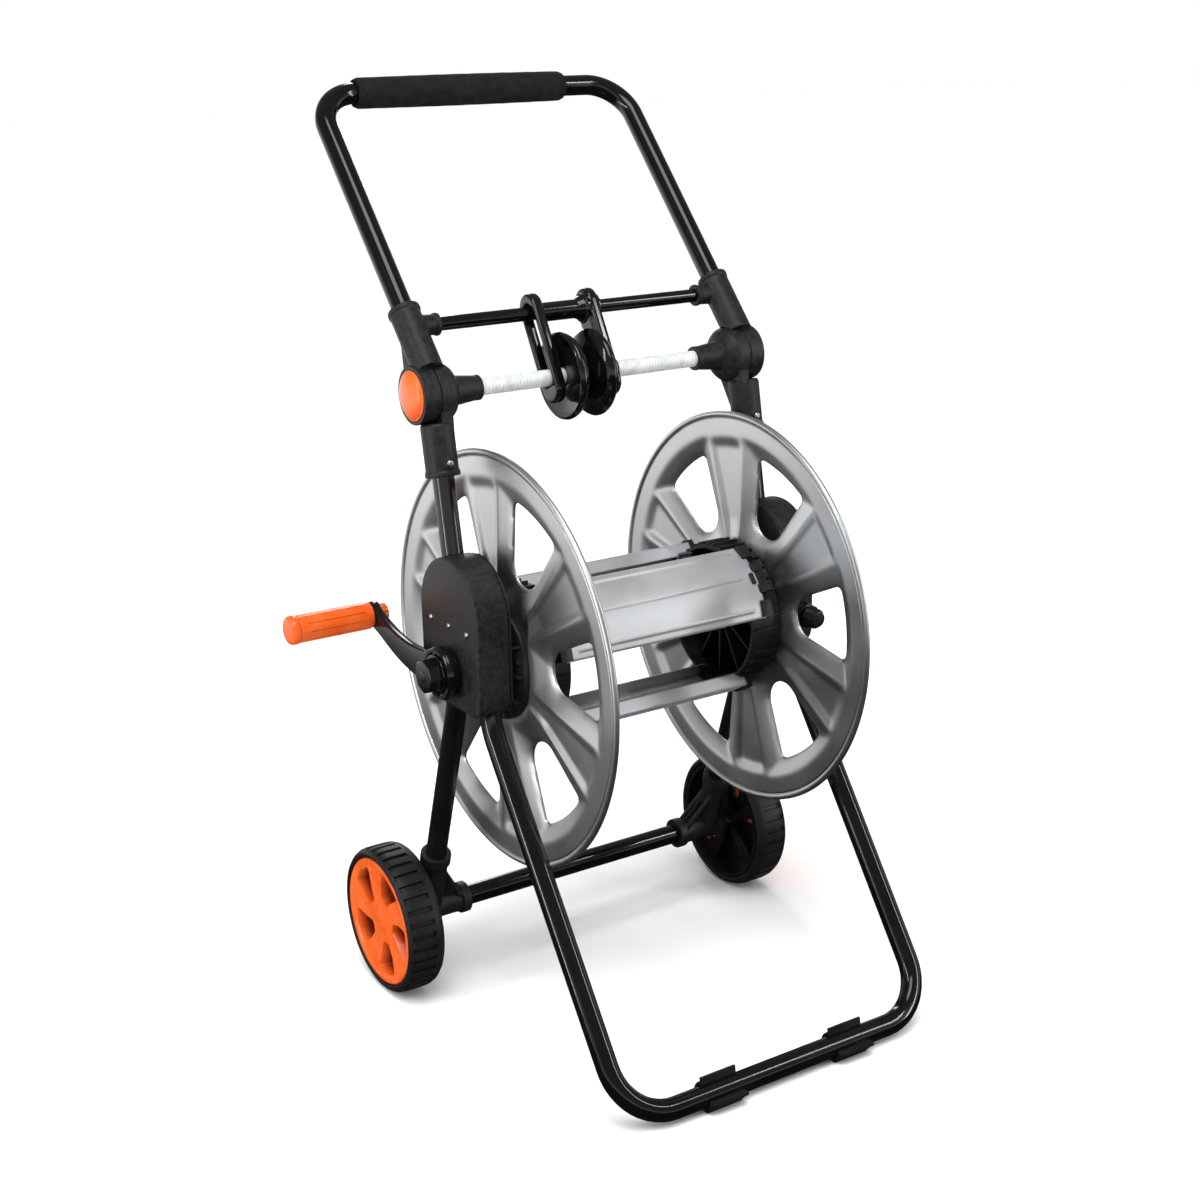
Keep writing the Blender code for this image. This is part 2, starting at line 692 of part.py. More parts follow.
def tyre(name, side, axis, rubber):
    inner, shoulder = RIM_R + GAP, 0.003
    profile = [
        (inner, WHEEL_OUT - 0.001),
        (inner + 0.002, WHEEL_OUT),
        (WHEEL_R - shoulder, WHEEL_OUT),
        (WHEEL_R, WHEEL_OUT - shoulder),
        (WHEEL_R, WHEEL_IN + shoulder),
        (WHEEL_R - shoulder, WHEEL_IN),
        (inner, WHEEL_IN),
    ]
    turned("tyre_" + name, profile, side, axis, rubber, steps=36)


def wheel_rim(name, side, axis, orange):
    """Moulded wheel: a band under the tyre, a spoked outer face, and a hub on the axle."""
    full = "wheel_rim_" + name
    face, back = WHEEL_OUT - 0.0005, WHEEL_IN + 0.001
    profile = [
        (0.0, face - 0.002),
        (RIM_R - 0.006, face - 0.002),
        (RIM_R - 0.004, face),
        (RIM_R, face),
        (RIM_R, back),
        (RIM_R - 0.0035, back),
        (RIM_R - 0.0035, face - 0.007),
        (0.013, face - 0.007),
        (0.013, back + 0.0005),
        (AXLE_R + GAP, back + 0.0005),
        (AXLE_R + GAP, 0.2405),
        (0.0, 0.2405),
    ]
    made = turned(full, profile, side, axis, orange, closed=False, steps=30)
    for i in range(WHEEL_OPENINGS):
        angle = math.radians(63) + 2 * math.pi * i / WHEEL_OPENINGS
        outline = [
            around_front(angle + math.radians(-3), 0.024),
            around_front(angle + math.radians(-13), 0.040),
            around_front(angle + math.radians(-19), 0.061),
            around_front(angle + math.radians(4), 0.0625),
            around_front(angle + math.radians(17), 0.061),
            around_front(angle + math.radians(20), 0.040),
            around_front(angle + math.radians(22), 0.026),
        ]
        window = sheet(f"{full}_window_{i}", [outline], 0.020, axis, orange, side * (face - 0.004))
        combine(made, "DIFFERENCE", as_mesh(window))


# ---- hinge, handle and guide ------------------------------------------------------------------------


def lower_socket(name, side, cart, plastic):
    """Lower half of the handle's hinge: it takes the upper post, and its boss holds the guide rod."""
    full = "lower_socket_" + name
    x, pivot = side * TRACK, (PIVOT_Y, PIVOT_Z)
    low = toward(POST_TOP, POST_BOTTOM, (POST_TOP[1] - LOWER_SOCKET_END_Z) * 1.016)
    high = toward(POST_TOP, POST_BOTTOM, -0.034)
    made = bar(full, (x, *low), (x, *high), SOCKET_R + 0.001, cart, plastic)
    disc = bar(
        full + "_disc", (side * HINGE_IN, *pivot), (side * HINGE_SPLIT, *pivot), HINGE_R, cart, plastic
    )
    boss = bar(
        full + "_boss",
        (side * ROD_BOSS_END, *pivot),
        (side * (HINGE_IN + 0.002), *pivot),
        0.0115,
        cart,
        plastic,
        0.0170,
    )
    combine(made, "UNION", disc, boss)
    swing = bar(
        full + "_swing",
        (side * (HINGE_SPLIT - GAP), *pivot),
        (side * 0.22, *pivot),
        HINGE_R + 0.001,
        cart,
        plastic,
    )
    rod_ends = [(side * end, *pivot) for end in (0.12, 0.1502)]
    rod = bar(full + "_rod_bore", *rod_ends, ROD_R + GAP, cart, plastic)
    pin = bar(
        full + "_pin_bore", (side * 0.14, *pivot), (side * 0.20, *pivot), HINGE_PIN_R + GAP, cart, plastic
    )
    post_ends = [toward(POST_TOP, POST_BOTTOM, d) for d in (-GAP, 0.08)]
    post = bar(full + "_post_bore", (x, *post_ends[0]), (x, *post_ends[1]), TUBE_R + GAP, cart, plastic)
    screw_hole = socket_screw_bar(full + "_screw_bore", side, lower_screw_place(), 0.0024, cart, plastic)
    combine(made, "DIFFERENCE", swing, rod, pin, post, screw_hole)


def lower_screw_place():
    """Point on the lower socket's axis and the direction its screw stands out, both (Y, Z)."""
    axis = (Vector(POST_BOTTOM) - Vector(POST_TOP)).normalized()
    return toward(POST_TOP, POST_BOTTOM, 0.027), (axis[1], -axis[0])


def upper_screw_place():
    axis = (Vector(HANDLE_TOP) - Vector(HANDLE_ENTRY)).normalized()
    return toward(HANDLE_ENTRY, HANDLE_TOP, -0.016), (axis[1], -axis[0])


def socket_screw_bar(name, side, place, radius, parent, finish, start=0.0125, end=0.030, origin=(0, 0)):
    """A bar square to a socket's axis, from start to end measured from that axis."""
    (y, z), (dy, dz) = place
    y, z = y - origin[0], z - origin[1]
    ends = [(side * TRACK, y + dy * d, z + dz * d) for d in (start, end)]
    return bar(name, *ends, radius, parent, finish, sides=12)


def socket_screw(name, side, place, parent, steel, origin=(0, 0)):
    """Screw that clamps a tube in its socket; its head stands on the socket's side."""
    shank = socket_screw_bar(name + "_shank", side, place, 0.0020, parent, steel, 0.0128, 0.018, origin)
    head = socket_screw_bar(
        name, side, place, 0.0042, parent, steel, SOCKET_R + 0.0016, SOCKET_R + 0.0040, origin
    )
    combine(head, "UNION", shank)


def guide_rod(cart, white):
    """Rod across the frame: the guide slides on it, and its thin ends are the handle's hinge pins."""
    shoulder = 0.1502 - GAP
    profile = [
        (0.0, HINGE_PIN_END),
        (HINGE_PIN_R, HINGE_PIN_END),
        (HINGE_PIN_R, shoulder),
        (ROD_R, shoulder),
        (ROD_R, -shoulder),
        (HINGE_PIN_R, -shoulder),
        (HINGE_PIN_R, -HINGE_PIN_END),
        (0.0, -HINGE_PIN_END),
    ]
    turned("guide_rod", profile, 1, cart, white, closed=False, steps=16, location=(0, PIVOT_Y, PIVOT_Z))


def upper_socket(name, side, handle, plastic):
    """Upper half of the hinge: it takes the handle tube, the crossbar's boss and the fold button's pocket."""
    full = "upper_socket_" + name
    x = side * HANDLE_TRACK
    entry = (HANDLE_ENTRY[0] - PIVOT_Y, HANDLE_ENTRY[1] - PIVOT_Z)
    top = (HANDLE_TOP[0] - PIVOT_Y, HANDLE_TOP[1] - PIVOT_Z)
    low = toward(entry, top, -0.072)
    made = bar(full, (x, *low), (x, *entry), SOCKET_R, handle, plastic)
    disc = bar(
        full + "_disc", (side * HINGE_SPLIT, 0, 0), (side * HINGE_OUT, 0, 0), HINGE_R, handle, plastic
    )
    cross = (CROSSBAR_Y - PIVOT_Y, CROSSBAR_Z - PIVOT_Z)
    boss_ends = [(side * end, *cross) for end in (CROSSBAR_BOSS_END, TRACK - 0.004)]
    boss = bar(full + "_boss", *boss_ends, 0.0100, handle, plastic, 0.0110)
    combine(made, "UNION", disc, boss)
    swing = bar(
        full + "_swing",
        (side * 0.15, 0, 0),
        (side * (HINGE_SPLIT + GAP), 0, 0),
        HINGE_R + 0.001,
        handle,
        plastic,
    )
    tube_ends = [toward(entry, top, d) for d in (-0.0413, 0.01)]
    bore = bar(full + "_tube_bore", (x, *tube_ends[0]), (x, *tube_ends[1]), TUBE_R + GAP, handle, plastic)
    pocket_ends = [(side * end, 0, 0) for end in (HINGE_OUT - BUTTON_POCKET, HINGE_OUT + 0.01)]
    pocket = bar(full + "_pocket", *pocket_ends, BUTTON_R + GAP, handle, plastic, sides=24)
    pin = bar(
        full + "_pin_bore", (side * 0.18, 0, 0), (side * 0.1940, 0, 0), HINGE_PIN_R + GAP, handle, plastic
    )
    bar_ends = [(side * end, *cross) for end in (0.15, 0.1693)]
    crossbar_bore = bar(full + "_crossbar_bore", *bar_ends, CROSSBAR_R + GAP, handle, plastic)
    screw_hole = socket_screw_bar(
        full + "_screw_bore", side, upper_screw_place(), 0.0024, handle, plastic, origin=(PIVOT_Y, PIVOT_Z)
    )
    combine(made, "DIFFERENCE", swing, bore, pocket, pin, crossbar_bore, screw_hole)


def fold_button(name, side, axis, orange):
    """Domed push button that releases the hinge."""
    face, skirt = 0.0060, 0.0050
    profile = [(BUTTON_R * math.sin(a), face * math.cos(a)) for a in (0, 0.35, 0.7, 1.05, 1.35)]
    profile += [(BUTTON_R, 0.0), (BUTTON_R, -skirt), (0.0, -skirt)]
    profile = [(radius, HINGE_OUT + height) for radius, height in profile]
    turned("fold_button_" + name, profile, side, axis, orange, closed=False, steps=24)


def handle_tube(handle, gloss_black):
    """The upper U: it rises out of both sockets, leaning back, and crosses at the top."""
    entry = (HANDLE_ENTRY[0] - PIVOT_Y, HANDLE_ENTRY[1] - PIVOT_Z)
    top = (HANDLE_TOP[0] - PIVOT_Y, HANDLE_TOP[1] - PIVOT_Z)
    end = toward(entry, top, -0.041)
    corners = [
        (-HANDLE_TRACK, *end),
        (-HANDLE_TRACK, *top),
        (HANDLE_TRACK, *top),
        (HANDLE_TRACK, *end),
    ]
    tube("handle_tube", rounded(corners, [HANDLE_BEND] * 2, 8), TUBE_R, handle, gloss_black)


def foam_grip(handle, foam):
    """Foam sleeve on the bar."""
    top = (0, HANDLE_TOP[0] - PIVOT_Y, HANDLE_TOP[1] - PIVOT_Z)
    inner = TUBE_R + GAP
    profile = [
        (inner, FOAM_RIGHT),
        (FOAM_R - 0.003, FOAM_RIGHT),
        (FOAM_R, FOAM_RIGHT - 0.003),
        (FOAM_R, FOAM_LEFT + 0.003),
        (FOAM_R - 0.003, FOAM_LEFT),
        (inner, FOAM_LEFT),
    ]
    turned("foam_grip", profile, 1, handle, foam, steps=24, location=top)


def crossbar(handle, gloss_black):
    place = (CROSSBAR_Y - PIVOT_Y, CROSSBAR_Z - PIVOT_Z)
    bar("crossbar", (-0.169, *place), (0.169, *place), CROSSBAR_R, handle, gloss_black)


def guide_direction():
    """From the rod to the crossbar: the unit vector and the distance."""
    reach = Vector((CROSSBAR_Y - PIVOT_Y, CROSSBAR_Z - PIVOT_Z))
    return reach.normalized(), reach.length


def oblong(low, high, radius):
    """A slot-shaped outline along the guide's direction, from low to high measured from the rod."""
    along, _ = guide_direction()
    tilt = math.atan2(along[1], along[0])
    top = arc(along * high, radius, tilt - math.pi / 2, tilt + math.pi / 2, 10)
    return top + arc(along * low, radius, tilt + math.pi / 2, tilt + 1.5 * math.pi, 10)


def guide_arms(guide, gloss_plastic):
    """Left arm: an open oblong loop. Right arm: solid, bored for each bar, with a sleeve on the crossbar."""
    along, reach = guide_direction()
    outline = oblong(-0.011, reach + 0.005, GUIDE_WIDTH_R)
    slot = oblong(0.0, reach, ROD_R + 0.0006)
    sheet("guide_arm_left", [outline, slot], 2 * GUIDE_HALF, guide, gloss_plastic, GUIDE_LEFT)
    holes = [circle(ROD_R + 0.0008, 16), circle(CROSSBAR_R + 0.0008, 16, along * reach)]
    right_arm = as_mesh(
        sheet("guide_arm_right", [outline, *holes], 2 * GUIDE_HALF, guide, gloss_plastic, GUIDE_RIGHT)
    )
    left, right = GUIDE_LEFT + GUIDE_HALF + GAP, GUIDE_RIGHT - GUIDE_HALF + 0.001
    profile = [
        (CROSSBAR_R + 0.0006, right),
        (0.0098, right),
        (0.0098, left),
        (CROSSBAR_R + 0.0006, left),
    ]
    sleeve = turned(
        "guide_arm_sleeve", profile, 1, guide, gloss_plastic, steps=16, location=(0, *(along * reach))
    )
    combine(right_arm, "UNION", sleeve)


def guide_roller(roller, gloss_plastic):
    """Grooved roller on the rod."""
    middle, half = (ROLLER_LEFT + ROLLER_RIGHT) / 2, (ROLLER_RIGHT - ROLLER_LEFT) / 2
    groove = []
    for share in (0.86, 0.55, 0.2, -0.2, -0.55, -0.86):
        rise = abs(share) ** 1.1
        groove.append((ROLLER_GROOVE_R + (ROLLER_R - ROLLER_GROOVE_R) * rise, middle + share * half))
    bore = ROD_R + 0.0006
    profile = [(bore, ROLLER_RIGHT), (ROLLER_R - 0.006, ROLLER_RIGHT), *groove]
    profile += [(ROLLER_R - 0.006, ROLLER_LEFT), (bore, ROLLER_LEFT)]
    turned("guide_roller", profile, 1, roller, gloss_plastic, steps=24)


# ---- assembly ---------------------------------------------------------------------------------------


def build():
    gloss_black = material("black_gloss_paint", (0.012, 0.012, 0.013), 0.16)
    satin_black = material("black_satin_paint", (0.018, 0.018, 0.019), 0.42)
    plastic = material("black_matt_plastic", (0.022, 0.022, 0.023), 0.55)
    gloss_plastic = material("black_gloss_plastic", (0.014, 0.014, 0.015), 0.22)
    rubber = material("black_rubber", (0.020, 0.020, 0.020), 0.75)
    foam = material("black_foam", (0.018, 0.018, 0.018), 0.92)
    orange = material("orange_plastic", (0.85, 0.13, 0.02), 0.35)
    silver = material("silver_painted_steel", (0.52, 0.52, 0.53), 0.34, 0.85)
    steel = material("zinc_plated_steel", (0.62, 0.62, 0.63), 0.30, 1.0)
    white = material("white_rod", (0.80, 0.80, 0.81), 0.30)

    middle_x = (WHEEL_OUT - GRIP_END) / 2
    middle_y = (HANDLE_TOP[0] + FOAM_R + BASE_Y - FOOT_R) / 2
    cart = empty("cart", (-middle_x, -middle_y, 0))
    reel = empty("reel_axis", (0, REEL_Y, REEL_Z), cart)
    grip_axis = empty("grip_axis", (0, *CRANK_REACH), reel)
    handle = empty("handle_pivot", (0, PIVOT_Y, PIVOT_Z), cart)
    guide = empty("guide_slide", (0, 0, 0), handle)
    roller = empty("guide_roller_axis", (0, 0, 0), guide)

    front_frame(cart, gloss_black)
    axle(cart, gloss_black, steel)
    for name, side in SIDES:
        rear_leg(name, side, cart, satin_black)
        upper_post(name, side, cart, gloss_black)
        foot_clip(name, side, cart, rubber)
        wheel_bracket(name, side, cart, plastic)
        side_housing(name, side, cart, plastic)
        bearing_plate(name, side, cart, plastic)
        for number, place in enumerate(screw_places(), 1):
            housing_screw(f"housing_screw_{name}_{number}", side, place, cart, steel)
        lower_socket(name, side, cart, plastic)
        socket_screw("lower_socket_screw_" + name, side, lower_screw_place(), cart, steel)

        flange(name, side, reel, silver)
        drum_end(name, side, reel, plastic)
        hub(name, side, reel, plastic)

        wheel = empty("wheel_axis_" + name, (0, 0, WHEEL_Z), cart)
        tyre(name, side, wheel, rubber)
        wheel_rim(name, side, wheel, orange)

        upper_socket(name, side, handle, plastic)
        origin = (PIVOT_Y, PIVOT_Z)
        socket_screw("upper_socket_screw_" + name, side, upper_screw_place(), handle, steel, origin)
        fold_button(name, side, handle, orange)

    inlet(cart, plastic)
    guide_rod(cart, white)

    for number in range(1, STAVES + 1):
        drum_stave(number, reel, silver)
    crank_shaft(reel, steel)
    outlet(reel, plastic)
    crank_arm(reel, gloss_plastic)
    crank_knob(reel, gloss_plastic)
    crank_pin(reel, steel, orange)
    crank_grip(grip_axis, orange)

    handle_tube(handle, gloss_black)
    foam_grip(handle, foam)
    crossbar(handle, gloss_black)
    guide_arms(guide, gloss_plastic)
    guide_roller(roller, gloss_plastic)


for leftover in list(bpy.data.objects):
    bpy.data.objects.remove(leftover, do_unlink=True)
parts = new_collection("hose_reel_cart")
cutters = new_collection("cutters")
build()
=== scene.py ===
"""Garden hose reel cart: the looks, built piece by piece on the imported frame."""

import math

import bmesh
import bpy
from mathutils import Matrix, Quaternion, Vector


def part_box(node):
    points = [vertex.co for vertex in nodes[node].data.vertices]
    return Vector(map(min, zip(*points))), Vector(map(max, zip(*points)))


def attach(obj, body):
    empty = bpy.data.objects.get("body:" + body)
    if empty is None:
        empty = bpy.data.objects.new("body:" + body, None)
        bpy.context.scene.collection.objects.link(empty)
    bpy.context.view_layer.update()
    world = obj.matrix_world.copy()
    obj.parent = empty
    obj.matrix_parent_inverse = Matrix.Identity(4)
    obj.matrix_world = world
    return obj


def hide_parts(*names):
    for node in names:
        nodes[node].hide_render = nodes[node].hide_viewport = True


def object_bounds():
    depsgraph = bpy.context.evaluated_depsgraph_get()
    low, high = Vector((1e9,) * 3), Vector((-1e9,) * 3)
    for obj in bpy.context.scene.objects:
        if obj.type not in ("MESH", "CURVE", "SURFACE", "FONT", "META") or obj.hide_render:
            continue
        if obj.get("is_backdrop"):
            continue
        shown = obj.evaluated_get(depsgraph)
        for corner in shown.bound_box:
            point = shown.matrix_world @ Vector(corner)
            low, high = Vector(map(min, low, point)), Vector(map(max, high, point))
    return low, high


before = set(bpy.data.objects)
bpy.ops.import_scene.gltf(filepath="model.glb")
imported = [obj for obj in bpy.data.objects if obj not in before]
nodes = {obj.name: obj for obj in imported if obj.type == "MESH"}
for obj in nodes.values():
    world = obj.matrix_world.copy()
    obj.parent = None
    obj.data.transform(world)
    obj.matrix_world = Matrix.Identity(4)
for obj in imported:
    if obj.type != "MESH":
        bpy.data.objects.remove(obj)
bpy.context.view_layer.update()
scene = bpy.context.scene

# ---- studio: camera, floor and light ----------------------------------------------------------------
# A white paper sweep under a pale sky that darkens upwards, one wide bank of ceiling light, and softboxes
# that draw the long white lines on the black tubes. The cart's own zero lies under the axle's middle.
axle_low, axle_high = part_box("axle_tube")
cart = Vector(((axle_low.x + axle_high.x) / 2, (axle_low.y + axle_high.y) / 2, 0))


def add(material, kind, inputs=None, **settings):
    """Adds one shader node. An input is a plain value, or a socket that is linked to it."""
    made = material.node_tree.nodes.new(kind)
    for key, value in settings.items():
        setattr(made, key, value)
    for key, value in (inputs or {}).items():
        if isinstance(value, bpy.types.NodeSocket):
            material.node_tree.links.new(value, made.inputs[key])
        else:
            made.inputs[key].default_value = value
    return made


def linear(code):
    """An sRGB hex colour as linear RGBA."""
    shares = [int(code[i:i + 2], 16) / 255 for i in (0, 2, 4)]
    return (*(c / 12.92 if c <= 0.04045 else ((c + 0.055) / 1.055) ** 2.4 for c in shares), 1.0)


def shader_of(material):
    """A material's Principled shader."""
    return material.node_tree.nodes["Principled BSDF"]


def place_of(material):
    """The socket that gives a material the place on its piece."""
    return material.node_tree.nodes["Texture Coordinate"].outputs["Object"]


def new_finish(name, colour, roughness, metallic=0.0, **sockets):
    """A Principled material with its plain values on its own sockets."""
    made = bpy.data.materials.new(name)
    made.use_nodes = True
    plain = {"Base Color": linear(colour), "Roughness": roughness, "Metallic": metallic, **sockets}
    for key, value in plain.items():
        shader_of(made).inputs[key.replace("_", " ")].default_value = value
    add(made, "ShaderNodeTexCoord")
    return made


def mottle(material, size_mm, dark, light, rough):
    """Slow variation of colour and of roughness, over patches of about size_mm."""
    low, high = 0.3, 0.7
    spots = {"Vector": place_of(material), "Scale": 1000 / size_mm, "Detail": 4.0}
    patches = add(material, "ShaderNodeTexNoise", spots).outputs["Fac"]
    ramp = add(material, "ShaderNodeValToRGB", {"Fac": patches})
    for element, spot, code in zip(ramp.color_ramp.elements, (low, high), (dark, light)):
        element.position, element.color = spot, linear(code)
    spread = add(material, "ShaderNodeMapRange", {"Value": patches, "From Min": low, "From Max": high,
                                                  "To Min": rough[0], "To Max": rough[1]})
    for made, socket in ((ramp.outputs["Color"], "Base Color"), (spread.outputs["Result"], "Roughness")):
        material.node_tree.links.new(made, shader_of(material).inputs[socket])


def grain(material, size_mm, height_mm, strength, kind="ShaderNodeTexNoise"):
    """Fine relief, as a bump: grains of size_mm, height_mm high."""
    texture = add(material, kind, {"Vector": place_of(material), "Scale": 1000 / size_mm})
    height = texture.outputs["Fac" if kind == "ShaderNodeTexNoise" else "Distance"]
    relief_of = {"Height": height, "Strength": strength, "Distance": height_mm / 1000}
    bump = add(material, "ShaderNodeBump", relief_of)
    material.node_tree.links.new(bump.outputs["Normal"], shader_of(material).inputs["Normal"])


def stage_sheet(name, half, height, material):
    """A flat square sheet at this height, for the stage."""
    bm = bmesh.new()
    bmesh.ops.create_grid(bm, x_segments=1, y_segments=1, size=half)
    bmesh.ops.translate(bm, verts=bm.verts, vec=(0, 0, height))
    mesh = bpy.data.meshes.new(name)
    bm.to_mesh(mesh)
    bm.free()
    mesh.materials.append(material)
    made = bpy.data.objects.new(name, mesh)
    scene.collection.objects.link(made)
    return made


azimuth, elevation, roll = (math.radians(a) for a in (-32.7746, 17.4944, -0.9325))
aim, distance, level = Vector((0, -0.06544, 0.41288)), 1.9434, math.cos(elevation)
back = Vector((math.sin(azimuth) * level, -math.cos(azimuth) * level, math.sin(elevation)))
camera = bpy.data.objects.new("camera", bpy.data.cameras.new("camera"))
camera.data.lens, camera.data.sensor_width = 54.93, 36.0
turn = back.to_track_quat("Z", "Y").to_matrix().to_4x4() @ Matrix.Rotation(roll, 4, "Z")
camera.matrix_world = Matrix.Translation(cart + aim + back * distance) @ turn
scene.collection.objects.link(camera)
scene.camera = camera
scene.view_settings.view_transform = "Standard"

# Matt white paper: it takes soft shadows and gives no shine.
paper = new_finish("matt_paper_sweep", "fcfcfc", 0.9, Specular_IOR_Level=0.0)
floor = stage_sheet("floor", 20, 0, paper)
floor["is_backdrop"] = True

WHITE = (1.0, 1.0, 1.0, 1.0)
sky = bpy.data.worlds.new("pale_room")
sky.use_nodes = True
background = sky.node_tree.nodes["Background"]
heading = add(sky, "ShaderNodeTexCoord").outputs["Generated"]
height = add(sky, "ShaderNodeSeparateXYZ", {"Vector": heading}).outputs["Z"]
dusk = add(sky, "ShaderNodeMapRange", {"Value": height, "From Min": 0.05, "From Max": 0.30, "To Min": 1.0,
                                       "To Max": 0.22}, interpolation_type="SMOOTHSTEP")
sky.node_tree.links.new(dusk.outputs["Result"], background.inputs["Strength"])
background.inputs["Color"].default_value = WHITE
scene.world = sky

# The ceiling bank is a wide sun. It gives the sweep the same white near and far, so that no horizon shows.
daylight = bpy.data.lights.new("ceiling_bank", "SUN")
daylight.energy, daylight.angle = 2.7, math.radians(60)
bank = bpy.data.objects.new("ceiling_bank", daylight)
bank.rotation_euler = (math.radians(14), math.radians(-16), 0)
bank.visible_glossy = False
scene.collection.objects.link(bank)

# Glossy surfaces see a graded card under the cart: dark close by, and bright towards the far left. It gives
# the silver its slow change of tone and keeps the black tubes deep. Nothing else sees it.
graded = new_finish("graded_table_card", "000000", 1.0, Emission_Color=WHITE, Specular_IOR_Level=0.0)
spot = add(graded, "ShaderNodeVectorMath", {0: place_of(graded), 1: tuple(cart)}, operation="SUBTRACT")
to_left = {0: spot.outputs[0], 1: (-0.6, 0.8, 0)}
leftwards = add(graded, "ShaderNodeVectorMath", to_left, operation="DOT_PRODUCT").outputs["Value"]
glow = add(graded, "ShaderNodeMapRange", {"Value": leftwards, "From Min": 0.80, "From Max": 2.5,
                                          "To Min": 0.03, "To Max": 1.6})
graded.node_tree.links.new(glow.outputs["Result"], shader_of(graded).inputs["Emission Strength"])
graded.cycles.emission_sampling = "NONE"
table = stage_sheet("graded_table", 12, 0.0004, graded)
for ray in ("camera", "diffuse", "transmission", "volume_scatter", "shadow"):
    setattr(table, "visible_" + ray, False)
table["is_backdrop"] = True

lit = cart + Vector((0, -0.1, 0.45))
for name, place, width, length, power in (
    ("overhead_softbox", (-0.6, -0.9, 2.6), 1.0, 1.6, 26),
    ("left_strip", (-2.2, -0.2, 1.1), 0.12, 2.4, 22),
    ("right_strip", (1.7, -1.9, 1.3), 0.12, 2.4, 22),
    ("rear_strip", (0.9, 2.1, 1.6), 0.25, 2.2, 14),
):
    lamp = bpy.data.lights.new(name, "AREA")
    lamp.shape, lamp.size, lamp.size_y, lamp.energy = "RECTANGLE", width, length, power
    light = bpy.data.objects.new(name, lamp)
    light.location = cart + Vector(place)
    light.rotation_euler = (lit - light.location).to_track_quat("-Z", "Y").to_euler()
    scene.collection.objects.link(light)

# ---- front frame, axle tube, rear legs and upper posts ----------------------------------------------
# Welded steel tube, 22 mm across, cold bent and powder coated black. Sizes are in the cart's own frame, and
# a point of the side plane is (Y, Z).
TUBE_R, TRACK = 0.011, 0.187
SIDES = (("left", -1), ("right", 1))

# The frame's coat is glossy and lies thick: sharp white lines, with a faint orange peel.
gloss_coat = new_finish("black_gloss_powder_coat", "060607", 0.13, Specular_IOR_Level=0.45)
mottle(gloss_coat, 60, "040405", "09090a", (0.09, 0.15))
grain(gloss_coat, 3.0, 0.02, 0.5)
# The rear legs' coat is satin: the same black with a broad, dull shine.
satin_coat = new_finish("black_satin_powder_coat", "0a0a0b", 0.3, Specular_IOR_Level=0.35)
mottle(satin_coat, 50, "070708", "0e0e0f", (0.25, 0.36))
grain(satin_coat, 1.6, 0.02, 0.6)


def bent(corners, radii, steps=12):
    """A polyline with its corners rounded by arcs of these radii, as a tube bender leaves them."""
    corners = [Vector(corner) for corner in corners]
    path = [corners[0]]
    for before, corner, after, radius in zip(corners, corners[1:], corners[2:], radii):
        to_before, to_after = (before - corner).normalized(), (after - corner).normalized()
        half = to_before.angle(to_after) / 2
        centre = corner + (to_before + to_after).normalized() * radius / math.sin(half)
        start = corner + to_before * radius / math.tan(half) - centre
        axis = start.cross(-to_before)
        for step in range(steps + 1):
            path.append(centre + Quaternion(axis, (math.pi - 2 * half) * step / steps) @ start)
    return path + [corners[-1]]


def sweep(bm, path, radius, sides=36):
    """A round tube: a ring at the path's start, extruded from point to point and mitred at each."""
    path = [Vector(point) for point in path]
    ways = [(b - a).normalized() for a, b in zip(path, path[1:])]
    mitres = [ways[0], *((a + b).normalized() for a, b in zip(ways, ways[1:])), ways[-1]]
    ring = bmesh.ops.create_circle(bm, segments=sides, radius=radius, cap_ends=True)["verts"]
    bmesh.ops.rotate(bm, verts=ring, matrix=mitres[0].to_track_quat("Z", "Y").to_matrix(), cent=(0, 0, 0))
    bmesh.ops.translate(bm, verts=ring, vec=path[0])
    edges = list({edge for vert in ring for edge in vert.link_edges})
    for a, b, before, after in zip(path, path[1:], mitres, mitres[1:]):
        made = bmesh.ops.extrude_edge_only(bm, edges=edges)["geom"]
        ring = [item for item in made if isinstance(item, bmesh.types.BMVert)]
        edges = [item for item in made if isinstance(item, bmesh.types.BMEdge)]
        bmesh.ops.translate(bm, verts=ring, vec=b - a)
        bmesh.ops.rotate(bm, verts=ring, cent=b, matrix=before.rotation_difference(after).to_matrix())
    bmesh.ops.contextual_create(bm, geom=edges)


def finished(bm, name, body, material, replaced=(), crease=32):
    """Closes a piece: merged, faces outward, moved from the cart's zero to its place, tied to its body."""
    bmesh.ops.remove_doubles(bm, verts=bm.verts, dist=1e-6)
    bmesh.ops.recalc_face_normals(bm, faces=bm.faces)
    bmesh.ops.translate(bm, verts=bm.verts, vec=cart)
    mesh = bpy.data.meshes.new(name)
    bm.to_mesh(mesh)
    bm.free()
    mesh.shade_smooth()
    mesh.set_sharp_from_angle(angle=math.radians(crease))
    mesh.materials.append(material)
    made = bpy.data.objects.new(name, mesh)
    scene.collection.objects.link(made)
    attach(made, body)
    if replaced:
        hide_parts(*replaced)
    return made


BASE_BAR, FRONT_KNEE, FRONT_TOP = (-0.388, 0.015), (-0.153, 0.343), 0.440
corners = []
for name, side in SIDES:
    x = side * TRACK
    leg = [(x, FRONT_KNEE[0], FRONT_TOP), (x, *FRONT_KNEE), (x, *BASE_BAR)]
    corners += leg if side < 0 else leg[::-1]
bm = bmesh.new()
sweep(bm, bent(corners, (0.070, 0.055, 0.055, 0.070)), TUBE_R)
finished(bm, "front_frame", "frame", gloss_coat, ["front_frame_tube"])

